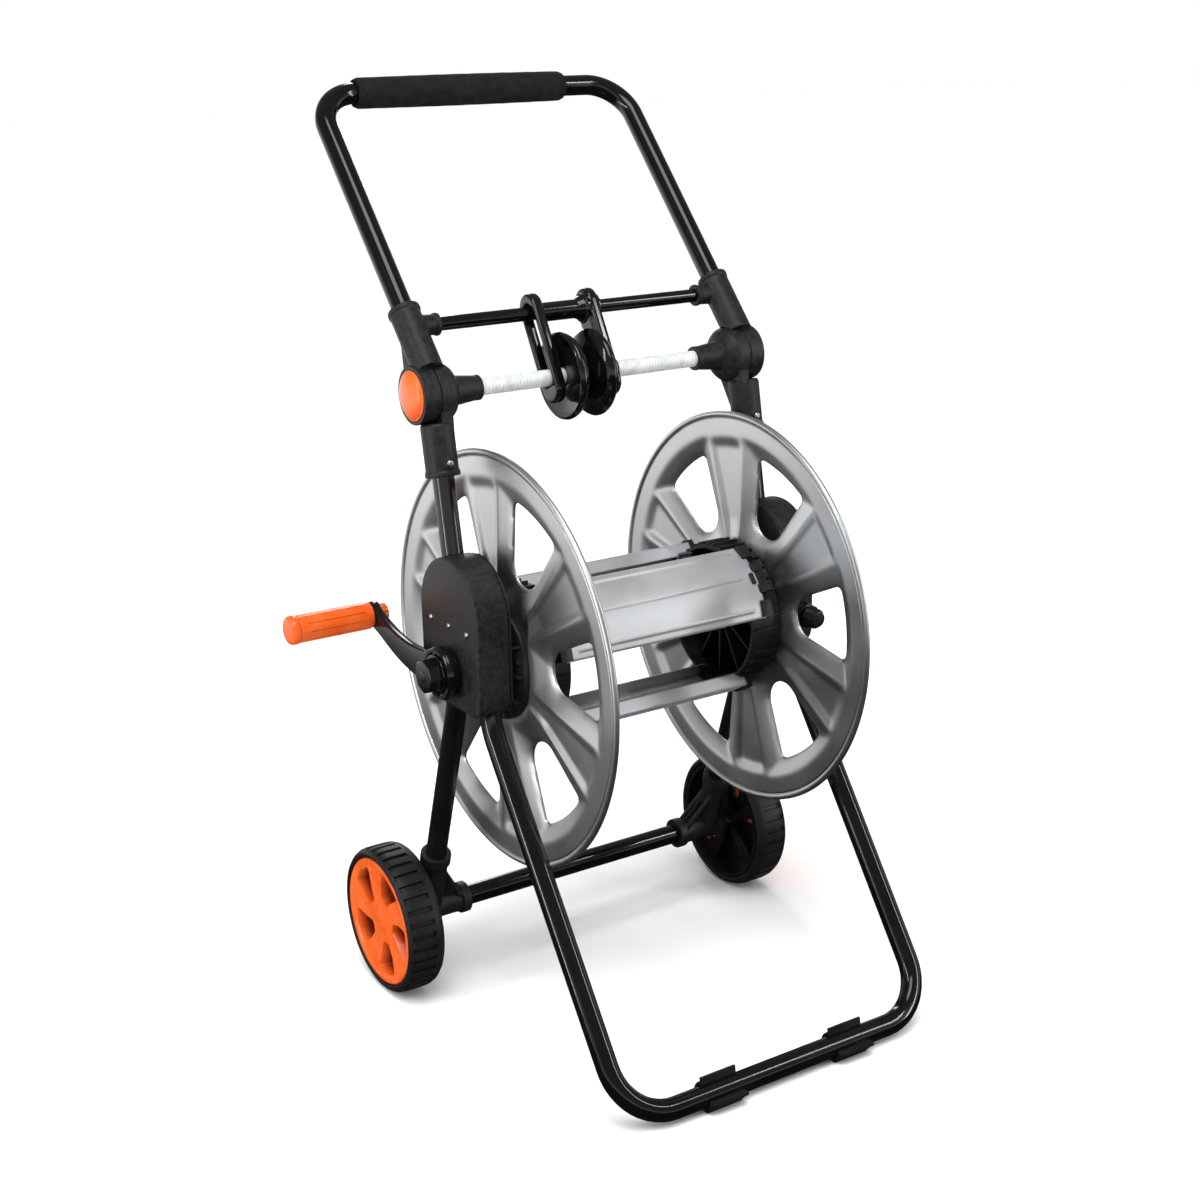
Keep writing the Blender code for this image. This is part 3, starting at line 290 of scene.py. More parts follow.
AXLE, AXLE_TUBE_HALF = Vector((0, 0.080)), 0.165
bm = bmesh.new()
sweep(bm, [(-AXLE_TUBE_HALF, *AXLE), (AXLE_TUBE_HALF, *AXLE)], TUBE_R)
finished(bm, "axle_cross_tube", "frame", gloss_coat, ["axle_tube"])

REAR_KNEE, REAR_TOP = Vector((-0.0855, 0.340)), (-0.0875, 0.372)
POST_TOP, POST_BOTTOM = Vector((-0.0693, 0.616)), Vector((-0.1024, 0.430))
leg_way = (REAR_KNEE - AXLE).normalized()
for name, side in SIDES:
    x = side * TRACK
    bm = bmesh.new()
    sweep(bm, bent([(x, *(AXLE + leg_way * 0.020)), (x, *REAR_KNEE), (x, *REAR_TOP)], [0.060], 6), TUBE_R)
    finished(bm, "rear_leg_tube_" + name, "frame", satin_coat, ["rear_leg_" + name])
    bm = bmesh.new()
    sweep(bm, [(x, *POST_BOTTOM), (x, *POST_TOP)], TUBE_R)
    finished(bm, "post_tube_" + name, "frame", gloss_coat, ["upper_post_" + name])

# ---- front feet -------------------------------------------------------------------------------------
# Two black rubber clips, moulded to a C and snapped over the base bar. A lip turns out at each end of
# the C, and the sole is flat. The rubber is dull, with a fine skin, and shows no highlight.
moulded_rubber = new_finish("black_moulded_rubber", "0f0f0f", 0.55, Specular_IOR_Level=0.3)
mottle(moulded_rubber, 20, "0c0c0c", "161616", (0.48, 0.62))
grain(moulded_rubber, 0.7, 0.03, 0.6)
FOOT_X, FOOT_HALF, SOLE_HALF, CLIP_R, CLIP_BORE = 0.079, 0.021, 0.007, 0.0149, 0.0112


def arc(centre, radius, start, end, steps):
    """Points of an arc in the side plane; angles in degrees from +Y towards +Z."""
    turns = [math.radians(start + (end - start) * step / steps) for step in range(steps + 1)]
    return [(centre[0] + radius * math.cos(t), centre[1] + radius * math.sin(t)) for t in turns]


def plate(bm, outline, x_from, x_to, edge=0.0, segments=3):
    """A flat outline in the side plane, extruded along X, with both its rims rounded."""
    face = bm.faces.new([bm.verts.new((x_from, *point)) for point in outline])
    made = bmesh.ops.extrude_face_region(bm, geom=[face])["geom"]
    moved = [item for item in made if isinstance(item, bmesh.types.BMVert)]
    bmesh.ops.translate(bm, verts=moved, vec=(x_to - x_from, 0, 0))
    if edge:
        far = next(item for item in made if isinstance(item, bmesh.types.BMFace))
        bmesh.ops.recalc_face_normals(bm, faces=bm.faces)
        rims = list(face.edges) + list(far.edges)
        bmesh.ops.bevel(bm, geom=rims, offset=edge, segments=segments, profile=0.5, affect="EDGES",
                        material=-1, clamp_overlap=True)


bar_y, bar_z = BASE_BAR
clip = arc(BASE_BAR, CLIP_R, 68, -52, 10) + [(bar_y + SOLE_HALF, 0.0), (bar_y - SOLE_HALF, 0.0)]
clip += arc(BASE_BAR, CLIP_R, -128, -172, 4)
clip += [(bar_y - 0.0185, bar_z - 0.0030), (bar_y - 0.0185, bar_z - 0.0002)]
clip += arc(BASE_BAR, CLIP_BORE, -180, 76, 24)
clip += [(bar_y + 0.0036, bar_z + 0.0185), (bar_y + 0.0062, bar_z + 0.0182)]
for name, side in SIDES:
    x = side * FOOT_X
    bm = bmesh.new()
    plate(bm, clip, x - FOOT_HALF, x + FOOT_HALF, 0.0006, 2)
    finished(bm, "foot_clip_" + name, "frame", moulded_rubber, ["front_foot_" + name])

# ---- wheel brackets ---------------------------------------------------------------------------------
# Injection-moulded nylon, one on each side: a sleeve on the axle tube and a socket for the rear leg in one
# piece, with collars at the mouths and gusset ribs between them. The mould leaves a fine matt grain, so the
# black looks soft and slightly grey.
grained_nylon = new_finish("black_grained_nylon", "131314", 0.45, Specular_IOR_Level=0.35)
mottle(grained_nylon, 18, "0f0f10", "19191a", (0.4, 0.52))
grain(grained_nylon, 0.8, 0.03, 0.7)
BRACKET_IN, BRACKET_OUT, SOCKET_LENGTH = 0.141, 0.2065, 0.078
# The axle's zinc plate is bright bare metal with a faint bloom, and it mirrors the room softly.
zinc_plate = new_finish("zinc_plated_steel", "b9bbbd", 0.3, 1.0)
mottle(zinc_plate, 12, "a9abae", "c9cbcc", (0.24, 0.38))
grain(zinc_plate, 0.9, 0.02, 0.4)


def rod(bm, start, end, radius, end_radius=None, sides=48, edge=0.0):
    """A round bar or cone from start to end, its rims rounded by edge."""
    start, end = Vector(start), Vector(end)
    turn = (end - start).to_track_quat("Z", "Y").to_matrix().to_4x4()
    made = bmesh.ops.create_cone(
        bm, cap_ends=True, segments=sides, radius1=radius,
        radius2=radius if end_radius is None else end_radius,
        depth=(end - start).length, matrix=Matrix.Translation((start + end) / 2) @ turn)["verts"]
    if edge:
        rims = [e for e in {e for v in made for e in v.link_edges}
                if any(len(f.verts) > 4 for f in e.link_faces)]
        bmesh.ops.bevel(bm, geom=rims, offset=edge, segments=3, profile=0.5, affect="EDGES", material=-1)


def applied(piece):
    """Makes a piece's modifiers part of its mesh."""
    mesh = bpy.data.meshes.new_from_object(piece.evaluated_get(bpy.context.evaluated_depsgraph_get()))
    piece.modifiers.clear()
    piece.data = mesh


def moulded(piece, voxel_mm, passes):
    """Fuses a piece's overlapping bars into one skin and softens its corners to a mould's small radii."""
    skin = piece.modifiers.new("fused", "REMESH")
    skin.mode, skin.voxel_size, skin.use_smooth_shade = "VOXEL", voxel_mm / 1000, True
    soft = piece.modifiers.new("mould_radii", "SMOOTH")
    soft.factor, soft.iterations = 0.5, passes
    applied(piece)
    piece.data.shade_smooth()


def dress(node, material):
    """Gives a CAD node that is shown as it is its own finish."""
    nodes[node].data.materials.clear()
    nodes[node].data.materials.append(material)


for name, side in SIDES:
    x, inner = side * TRACK, side * BRACKET_IN
    bm = bmesh.new()
    rod(bm, (inner, *AXLE), (side * BRACKET_OUT, *AXLE), 0.0145)
    rod(bm, (inner, *AXLE), (inner + side * 0.010, *AXLE), 0.0172)
    rod(bm, (side * (BRACKET_OUT - 0.008), *AXLE), (side * BRACKET_OUT, *AXLE), 0.0170)
    top = (x, *(AXLE + leg_way * SOCKET_LENGTH))
    rod(bm, (x, *(AXLE + leg_way * 0.004)), top, 0.0142)
    rod(bm, (x, *(AXLE + leg_way * (SOCKET_LENGTH - 0.012))), top, 0.0165)
    for shift in (-0.0085, 0.0085):
        low = (side * 0.150, shift, 0.084)
        rod(bm, low, (x, shift - 0.021, 0.142), 0.0030, sides=12)
        rod(bm, low, (x, shift, 0.088), 0.0030, sides=12)
    web = [(side * 0.150, 0.092), (x, 0.138), (x, 0.088)]
    gusset = bm.faces.new([bm.verts.new((u, -0.012 * (w - 0.08) / 0.05 - 0.0015, w)) for u, w in web])
    bm.normal_update()
    grown = bmesh.ops.extrude_face_region(bm, geom=[gusset])["geom"]
    bmesh.ops.translate(bm, verts=[g for g in grown if isinstance(g, bmesh.types.BMVert)], vec=(0, 0.003, 0))
    made = finished(bm, "axle_bracket_" + name, "frame", grained_nylon,
                    ["wheel_bracket_" + name])
    moulded(made, 0.7, 5)
dress("axle_rod", zinc_plate)

# ---- tyres ------------------------------------------------------------------------------------------
# Blow-moulded black polyethylene, 160 mm across and 42 mm wide. Thirty-six grooves run across the tread
# from the outer shoulder and stop short of the inner one, which is left smooth. The skin is waxy: a soft
# dull shine over a fine grain.
tyre_skin = new_finish("black_tyre_polymer", "101010", 0.5, Specular_IOR_Level=0.35)
mottle(tyre_skin, 25, "0c0c0c", "171717", (0.44, 0.58))
grain(tyre_skin, 1.2, 0.04, 0.7)
GROOVES, WHEEL_OUT, WHEEL_IN = 36, 0.2495, 0.2075


def spin_profile(bm, profile, side=1, centre=(0, 0), steps=96):
    """A closed profile of (radius, distance out from the middle), turned about an X axis through centre."""
    verts = [bm.verts.new((side * out, 0, radius)) for radius, out in profile]
    edges = [bm.edges.new(pair) for pair in zip(verts, verts[1:] + verts[:1])]
    before = set(bm.verts) - set(verts)
    bmesh.ops.spin(bm, geom=verts + edges, cent=(0, 0, 0), axis=(1, 0, 0), angle=2 * math.pi, steps=steps,
                   use_merge=True)
    bmesh.ops.translate(bm, verts=[v for v in bm.verts if v not in before], vec=(0, *centre))


def sink(bm, faces, wall, slope, depth):
    """Sinks a group of faces by depth: an inset of wall round it, then a sloped one down to its floor."""
    bmesh.ops.inset_region(bm, faces=faces, thickness=wall, depth=0.0, use_even_offset=True)
    bmesh.ops.inset_region(bm, faces=faces, thickness=slope, depth=-depth, use_even_offset=True)


tyre_profile = [
    *((radius, WHEEL_OUT - in_by) for radius, in_by in (
        (0.0700, 0.0035), (0.0712, 0.0008), (0.0730, 0.0), (0.0752, 0.0006), (0.0775, 0.0028),
        (0.0792, 0.0062), (0.0799, 0.0110), (0.0800, 0.0170))),
    *((radius, WHEEL_IN + out_by) for radius, out_by in (
        (0.0800, 0.0150), (0.0799, 0.0100), (0.0795, 0.0065), (0.0780, 0.0028), (0.0758, 0.0006),
        (0.0735, 0.0), (0.0712, 0.0010), (0.0702, 0.0040))),
]
for name, side in SIDES:
    bm = bmesh.new()
    spin_profile(bm, tyre_profile, side, AXLE, steps=GROOVES * 4)
    bmesh.ops.remove_doubles(bm, verts=bm.verts, dist=1e-6)
    bmesh.ops.recalc_face_normals(bm, faces=bm.faces)
    deep = []
    for face in bm.faces:
        spot = face.calc_center_median()
        across, up = spot.y, spot.z - AXLE.y
        on_tread = WHEEL_IN + 0.011 < side * spot.x < WHEEL_OUT - 0.0025 and math.hypot(across, up) > 0.0755
        quarter = math.degrees(math.atan2(up, across)) % 360 / (90 / GROOVES) % 4
        if on_tread and quarter < 2.0:
            deep.append(face)
    sink(bm, deep, 0.0007, 0.0006, 0.0030)
    finished(bm, "grooved_tyre_" + name, "wheel_" + name, tyre_skin, ["tyre_" + name], 40)

# ---- wheels -----------------------------------------------------------------------------------------
# Two mouldings clipped together. The outer face is orange polypropylene, dished between a raised ring and
# a low centre, with five swirled pockets. Behind it a black body carries the tyre, the spokes and the hub.
# The orange is even and saturated, under the soft gloss of a polished mould.
orange_shell = new_finish("orange_polypropylene", "dc5a18", 0.26, Specular_IOR_Level=0.5)
mottle(orange_shell, 30, "d5510f", "e26422", (0.22, 0.32))
grain(orange_shell, 1.5, 0.015, 0.4)
# The black one shines the same way, and is deep and neutral.
smooth_black = new_finish("black_smooth_polypropylene", "0c0c0d", 0.3, Specular_IOR_Level=0.4)
mottle(smooth_black, 30, "09090a", "111112", (0.26, 0.38))
grain(smooth_black, 1.2, 0.02, 0.5)
ARMS, ARM_STEP, FIRST_POCKET, FIRST_SPOKE = 5, 72, 63, 27


def cut(piece, cutters):
    """Takes each cutter's shape out of a piece. A cutter is a bmesh of one closed shape."""
    tools = []
    for tool in cutters:
        bmesh.ops.recalc_face_normals(tool, faces=tool.faces)
        bmesh.ops.translate(tool, verts=tool.verts, vec=cart)
        mesh = bpy.data.meshes.new("cutter")
        tool.to_mesh(mesh)
        tool.free()
        tools.append(bpy.data.objects.new("cutter", mesh))
        scene.collection.objects.link(tools[-1])
        bite = piece.modifiers.new("cut", "BOOLEAN")
        bite.operation, bite.object = "DIFFERENCE", tools[-1]
    applied(piece)
    for tool in tools:
        bpy.data.objects.remove(tool)
    piece.data.set_sharp_from_angle(angle=math.radians(32))


def loft(bm, first, second, x_first, x_second):
    """A closed shape between two outlines of equal count in side planes, capped at both ends."""
    rings = []
    for outline, x in ((first, x_first), (second, x_second)):
        face = bm.faces.new([bm.verts.new((x, *point)) for point in outline])
        rings.append(list(face.edges))
    bmesh.ops.bridge_loops(bm, edges=rings[0] + rings[1])


def rounded_outline(points, radius, steps=5):
    """A closed outline with every corner rounded."""
    made = []
    for before, corner, after in zip(points[-1:] + points[:-1], points, points[1:] + points[:1]):
        a, b, c = Vector(before), Vector(corner), Vector(after)
        reach = min(radius, (a - b).length * 0.45, (c - b).length * 0.45)
        start, end = b + (a - b).normalized() * reach, b + (c - b).normalized() * reach
        for step in range(steps + 1):
            s = step / steps
            made.append(tuple(start * (1 - s) ** 2 + b * 2 * s * (1 - s) + end * s * s))
    return made


def around(angle, radius, centre=(0, 0)):
    """A point at an angle in degrees from the front (-Y) towards the top."""
    turn = math.radians(angle)
    return (centre[0] - radius * math.cos(turn), centre[1] + radius * math.sin(turn))


def outline_around(angle, corners, centre):
    """Corners given as (turn from angle, radius), as points about centre."""
    return [around(angle + turn, radius, centre) for turn, radius in corners]


def fin(bm, centre, angle, near, far, half, x_from, x_to, spread=1.0, edge=0.0):
    """A flat rib that points away from centre. Its far end is spread times as wide as its near end."""
    low, high = Vector(around(angle, near, centre)), Vector(around(angle, far, centre))
    across = Vector(around(angle + 90, half))
    outline = [low - across, low + across, high + across * spread, high - across * spread]
    plate(bm, outline, x_from, x_to, edge, 2)


face_x = WHEEL_OUT - 0.0008
floor_x, rear_x = face_x - 0.0145, face_x - 0.0165
# The outer face is the same orange, with painted shade in its pockets: the colour turns to dark red with
# depth down the pocket walls, and is dark red all over the back of the face.
shade_painted_shell = orange_shell.copy()
shade_painted_shell.name = "orange_polypropylene_painted_pocket_shade"
colour = shader_of(shade_painted_shell).inputs["Base Color"]
unshaded_orange = colour.links[0].from_socket
out = add(shade_painted_shell, "ShaderNodeSeparateXYZ", {"Vector": place_of(shade_painted_shell)}).outputs["X"]
out = add(shade_painted_shell, "ShaderNodeMath", {0: out, 1: cart.x}, operation="SUBTRACT").outputs[0]
out = add(shade_painted_shell, "ShaderNodeMath", {0: out}, operation="ABSOLUTE").outputs[0]
depth = {"Value": out, "From Min": floor_x, "From Max": face_x - 0.0048, "To Min": 0.0, "To Max": 1.0}
share = add(shade_painted_shell, "ShaderNodeMapRange", depth).outputs["Result"]
rear = add(shade_painted_shell, "ShaderNodeMath", {0: out, 1: rear_x + 0.0003}, operation="LESS_THAN").outputs[0]
share = add(shade_painted_shell, "ShaderNodeMath", {0: share, 1: rear}, operation="MAXIMUM").outputs[0]
# Painted shade: mixes the orange towards dark red by depth into the pockets, fully at the back of the face.
painted_pocket_shade = add(shade_painted_shell, "ShaderNodeMix", {0: share, 6: linear("6e1c06"), 7: unshaded_orange}, data_type="RGBA")
shade_painted_shell.node_tree.links.new(painted_pocket_shade.outputs[2], colour)

FACE_R, HUB_R, BORE_R = 0.0695, 0.0142, 0.0056
face_profile = [(radius, face_x - in_by) for radius, in_by in (
    (0.0, 0.0042), (0.010, 0.0042), (0.014, 0.0050), (0.050, 0.0042), (0.0615, 0.0030), (0.0640, 0.0006),
    (0.0660, 0.0), (0.0684, 0.0004), (FACE_R, 0.0018), (FACE_R, 0.0165), (0.0, 0.0165))]
disc_x = face_x - 0.0190
body_profile = [
    (0.0699, WHEEL_IN + 0.001), (0.0655, WHEEL_IN + 0.001), (0.0645, WHEEL_IN + 0.004), (0.0640, disc_x),
    (HUB_R, disc_x), (HUB_R, WHEEL_IN + 0.002), (0.0130, WHEEL_IN + 0.0005), (BORE_R, WHEEL_IN + 0.0005),
    (BORE_R, face_x - 0.0172), (0.0699, face_x - 0.0172),
]
POCKET = ((-6, 0.0225), (-15, 0.038), (-22, 0.0600), (0, 0.0622), (19, 0.0610), (25, 0.0420), (24, 0.0260))
THROAT = ((2, 0.0255), (-7, 0.039), (-12, 0.0570), (4, 0.0590), (16, 0.0585), (21, 0.0420), (20, 0.0290))
WINDOW = ((12, 0.024), (13, 0.0625), (30, 0.0625), (33, 0.024))
for name, side in SIDES:
    wheel = "wheel_" + name
    pockets, windows = [], []
    for angle in (FIRST_POCKET + ARM_STEP * i for i in range(ARMS)):
        mouth, throat = outline_around(angle, POCKET, AXLE), outline_around(angle, THROAT, AXLE)
        pockets.append(bmesh.new())
        loft(pockets[-1], rounded_outline(mouth, 0.004), rounded_outline(throat, 0.003),
             side * (face_x + 0.0005), side * (face_x - 0.0175))
        windows.append(bmesh.new())
        plate(windows[-1], rounded_outline(outline_around(angle, WINDOW, AXLE), 0.005),
              side * rear_x, side * (face_x - 0.0210))
    bm = bmesh.new()
    spin_profile(bm, face_profile, side, AXLE, steps=120)
    dish = finished(bm, "wheel_face_" + name, wheel, shade_painted_shell)
    cut(dish, pockets)
    edges = dish.modifiers.new("edge", "BEVEL")
    edges.width, edges.segments, edges.limit_method, edges.angle_limit = 0.0006, 2, "ANGLE", math.radians(35)
    bm = bmesh.new()
    spin_profile(bm, body_profile, side, AXLE)
    body = finished(bm, "wheel_body_" + name, wheel, smooth_black, ["wheel_rim_" + name])
    cut(body, windows)
    bm = bmesh.new()
    for angle in (FIRST_SPOKE + ARM_STEP * i for i in range(ARMS)):
        fin(bm, AXLE, angle, 0.012, 0.0662, 0.0055, side * (face_x - 0.0185), side * (WHEEL_IN + 0.012),
            1.6, 0.001)
    finished(bm, "wheel_spokes_" + name, wheel, smooth_black)

# ---- side housings ----------------------------------------------------------------------------------
# Injection-moulded glass-filled nylon, one on each side: half round on top, open to the reel, and screwed
# to a bearing plate. The tubes of the frame run into it. The glass leaves the dark grey rough and uneven,
# so it shines broadly and never sharply.
glass_nylon = new_finish("dark_grey_glass_filled_nylon", "161617", 0.48, Specular_IOR_Level=0.3)
mottle(glass_nylon, 5, "0e0e0f", "222223", (0.42, 0.56))
grain(glass_nylon, 1.1, 0.07, 1.0)
REEL, HOUSING_IN, HOUSING_OUT, HOUSING_WALL = (-0.111, 0.3891), 0.1713, 0.206, 0.0026


def housing_face(inset):
    """The housing's outline, drawn in by inset: a half-round top that leaves a crease at each side."""
    half, low, corner = 0.058 - inset, 0.352 + inset, 0.018 - inset
    top = arc((REEL[0], 0.446), half, 0, 180, 48)
    front = arc((REEL[0] - half + corner, low + corner), corner, 180, 270, 10)
    rear = arc((REEL[0] + half - corner, low + corner), corner, 270, 360, 10)
    return top + front + rear


def dome_screw(bm, x, side, y, z, radius=0.0032):
    """A pan-head screw, its head outwards on X."""
    height = 0.0018
    shares = ((0.0, 0.35), (0.18, 0.35), (0.36, 0.95), (0.55, 0.92), (0.85, 0.62), (1.0, 0.2), (1.0, 0.0),
              (0.0, 0.0))
    spin_profile(bm, [(radius * r, side * x + height * h) for r, h in shares], side, (y, z), steps=24)


for name, side in SIDES:
    x = side * TRACK
    bm = bmesh.new()
    plate(bm, housing_face(0.0), side * HOUSING_IN, side * HOUSING_OUT, 0.0024, 3)
    shell = finished(bm, "housing_" + name, "frame", glass_nylon,
                     ["side_housing_" + name], 28)
    hollow, legs = bmesh.new(), bmesh.new()
    plate(hollow, housing_face(HOUSING_WALL), side * (HOUSING_IN - 0.01), side * (HOUSING_OUT - HOUSING_WALL))
    rod(legs, (x, *REAR_TOP), (x, *(REAR_KNEE - leg_way * 0.01)), TUBE_R + 0.0004)
    cut(shell, [hollow, legs])
    for number, shift in enumerate((-0.036, 0.0, 0.036), 1):
        bm = bmesh.new()
        dome_screw(bm, side * HOUSING_OUT, side, REEL[0] + shift, 0.436)
        screw = f"housing_screw_{name}_{number}"
        finished(bm, f"pan_screw_{name}_{number}", "frame", zinc_plate, [screw])
    dress("bearing_plate_" + name, grained_nylon)

# The crank's shaft leaves through the left housing. A low round cover closes the same hole in the right one.
bm = bmesh.new()
cover_in, cover_out = HOUSING_OUT - 0.001, HOUSING_OUT + 0.0034
spin_profile(bm, [(0.0255, cover_in), (0.0255, HOUSING_OUT + 0.0022), (0.0240, cover_out),
                  (0.0090, cover_out), (0.0090, cover_in)], 1, REEL)
finished(bm, "shaft_cover_right", "frame", glass_nylon)

# ---- reel flanges -----------------------------------------------------------------------------------
# Each is one blank of 1.2 mm steel, stamped and painted silver. Six openings sit in sunken walls with mitred
# corners, a shallow channel widens along each spoke between them, and the edge is rolled into a bead. The
# paint is full of metal flake: it carries the room's light and dark in slow bands, with no sharp mirror.
silver_paint = new_finish("silver_painted_steel", "c8cacc", 0.38, 1.0)
mottle(silver_paint, 70, "c1c3c5", "cfd1d3", (0.35, 0.43))
grain(silver_paint, 1.4, 0.03, 0.9)
FLANGE_X, SHEET = 0.1495, 0.0012
OPENINGS, FIRST_OPENING, FLARE = 6, 68, math.radians(16.8)
TIP, TIP_R, MOUTH_R, CREST_R = 0.115, 0.023, 0.171, 0.188
HALF_STEP = 180 / OPENINGS


def clamped(value):
    """A share, held between 0 and 1."""
    return min(max(value, 0), 1)


def to_opening(y, z):
    """How far a point of the flange lies outside the nearest opening's edge, and from the nearest spoke."""
    radius, turn = math.hypot(y, z), math.degrees(math.atan2(z, -y))
    off = math.radians((turn - FIRST_OPENING + HALF_STEP) % (2 * HALF_STEP) - HALF_STEP)
    u, v = radius * math.cos(off), abs(radius * math.sin(off))
    along = (u - TIP) * math.cos(FLARE) + v * math.sin(FLARE)
    straight = v * math.cos(FLARE) - (u - TIP) * math.sin(FLARE) - TIP_R
    flank = straight if along > 0 else math.hypot(u - TIP, v) - TIP_R
    outer, soft = radius - MOUTH_R, 0.009
    blend = max(soft - abs(flank - outer), 0) / soft
    edge = max(flank, outer) + blend * blend * soft / 4
    spoke = radius * math.sin(math.radians(HALF_STEP) - abs(off))
    return edge, flank, outer, spoke, radius


def relief(y, z):
    """Depth of the stamping at a point, in metres below the outer band: sunken walls, and the channels."""
    wall_depth, lip_depth, channel_depth = 0.0078, 0.0012, 0.0042
    edge, flank, outer, spoke, radius = to_opening(y, z)
    if radius < 0.062 or radius > 0.200:
        return 0.0
    crest = 0.0110 + max(radius - 0.080, 0) * 0.165
    side_share = max(flank, 0.0) / max(max(flank, 0.0) + max(spoke - crest, 0.0), 1e-6)
    shares = [side_share, max(outer, 0.0) / (CREST_R - MOUTH_R), max(0.092 - radius, 0.0) / 0.026]
    wall = wall_depth * max(1 - max(shares), 0.0) + lip_depth * max(1 - edge / 0.004, 0.0)
    channel = clamped((crest - spoke) / 0.006) * clamped((0.186 - radius) / 0.010)
    return wall + channel_depth * channel * clamped((radius - 0.066) / 0.030)


def onto_edge(vert):
    """Moves a vertex of the stamped blank onto the nearest opening's edge."""
    step = 1e-5
    for _ in range(6):
        y, z = vert.co.yz
        edge = to_opening(y, z)[0]
        slope = Vector((to_opening(y + step, z)[0] - edge, to_opening(y, z + step)[0] - edge)) / step
        vert.co.y -= edge * slope[0] / max(slope.length_squared, 0.2)
        vert.co.z -= edge * slope[1] / max(slope.length_squared, 0.2)


radii = [0.0092, 0.020, 0.032, 0.044, 0.054] + [0.060 + 0.0021 * i for i in range(71)]
rolled_bead = [
    (0.2064, 0.0004), (0.2078, 0.0016), (0.2094, 0.0027), (0.2112, 0.0030), (0.2129, 0.0024),
    (0.2140, 0.0010), (0.2142, -0.0004), (0.2138, -0.0016), (0.2126, -0.0026), (0.2110, -0.0030),
    (0.2098, -0.0027), (0.2090, -0.0014), (0.2080, -0.0008), (0.2064, -0.0012),
]
for name, side in SIDES:
    bm = bmesh.new()
    verts = [bm.verts.new((0, -r, 0)) for r in radii]
    spokes = [bm.edges.new(pair) for pair in zip(verts, verts[1:])]
    bmesh.ops.spin(bm, geom=verts + spokes, cent=(0, 0, 0), axis=(1, 0, 0), angle=2 * math.pi, steps=420,
                   use_merge=True)
    gone = [f for f in bm.faces if to_opening(*f.calc_center_median().yz)[0] < 0]
    bmesh.ops.delete(bm, geom=gone, context="FACES")
    for vert in bm.verts:
        if vert.is_boundary and 0.08 < vert.co.yz.length < 0.2:
            onto_edge(vert)
    for vert in bm.verts:
        vert.co.x = relief(*vert.co.yz)
    soft = [vert for vert in bm.verts if not vert.is_boundary]
    for _ in range(5):
        bmesh.ops.smooth_vert(bm, verts=soft, factor=0.5, use_axis_x=True, use_axis_y=False, use_axis_z=False)
    bmesh.ops.translate(bm, verts=bm.verts, vec=(side * FLANGE_X - 0.0006, *REEL))
    disc = finished(bm, "stamped_flange_" + name, "reel", silver_paint,
                    ["flange_" + name], 60)
    sheet = disc.modifiers.new("sheet", "SOLIDIFY")
    sheet.thickness, sheet.offset = SHEET, 0.0
    bm = bmesh.new()
    spin_profile(bm, [(r, FLANGE_X - side * h) for r, h in rolled_bead], side, REEL, steps=192)
    finished(bm, "rolled_edge_" + name, "reel", silver_paint, crease=50)

# ---- drum: staves and ends --------------------------------------------------------------------------
# Three staves of silver-painted sheet, rolled to the drum's curve. Each is stiffened by a bead near either
# edge and a fine crease down the middle, all stopping short of its ends, and both edges turn inwards. Rolling
# leaves this sheet duller and flatter in tone than the flanges.
rolled_silver = new_finish("silver_painted_rolled_sheet", "c2c4c6", 0.5, 0.8)
mottle(rolled_silver, 40, "bbbdbf", "c9cbcd", (0.46, 0.56))
grain(rolled_silver, 1.4, 0.04, 1.0)
DRUM_R, DRUM_HALF, STAVES, FIRST_STAVE, STAVE_STEP = 0.0862, 0.122, 3, 39, 120
stave_flat, stave_lip = math.radians(29.0) * DRUM_R, 0.009


def bead(distance, width):
    """A rounded rib's height, from 1 on its middle line to 0 at half its width."""
    return 0.5 + 0.5 * math.cos(math.pi * min(abs(distance) / (width / 2), 1))


def stave_height(x, across):
    """Pressed relief of a stave at a place on its length and across from its middle line, in metres."""
    height = 0.0
    for line, width, rise, stop in ((-0.034, 0.0045, 0.0013, 0.106), (0.034, 0.0045, 0.0013, 0.106),
                                    (0.0, 0.0026, -0.0009, 0.104)):
        past = max(abs(x) - stop, 0)
        height += rise * bead(math.hypot(across - line, past), width)
    return height


for number in range(STAVES):
    bm = bmesh.new()
    bmesh.ops.create_grid(bm, x_segments=150, y_segments=96, size=1)
    for vert in bm.verts:
        x, across = vert.co.x * DRUM_HALF, vert.co.y * (stave_flat + stave_lip)
        lip = max(abs(across) - stave_flat, 0)
        sag = 0.0012 * max(1 - (stave_flat - abs(across)) / 0.002, 0)
        turn = math.degrees(max(min(across, stave_flat), -stave_flat) / DRUM_R)
        radius = DRUM_R + stave_height(x, across) - lip - sag
        vert.co = (x, *around(FIRST_STAVE + STAVE_STEP * number + turn, radius, REEL))
    stave = finished(bm, f"ribbed_stave_{number + 1}", "reel", rolled_silver,
                     [f"drum_stave_{number + 1}"], 50)
    sheet = stave.modifiers.new("sheet", "SOLIDIFY")
    sheet.thickness, sheet.offset = SHEET, -1.0

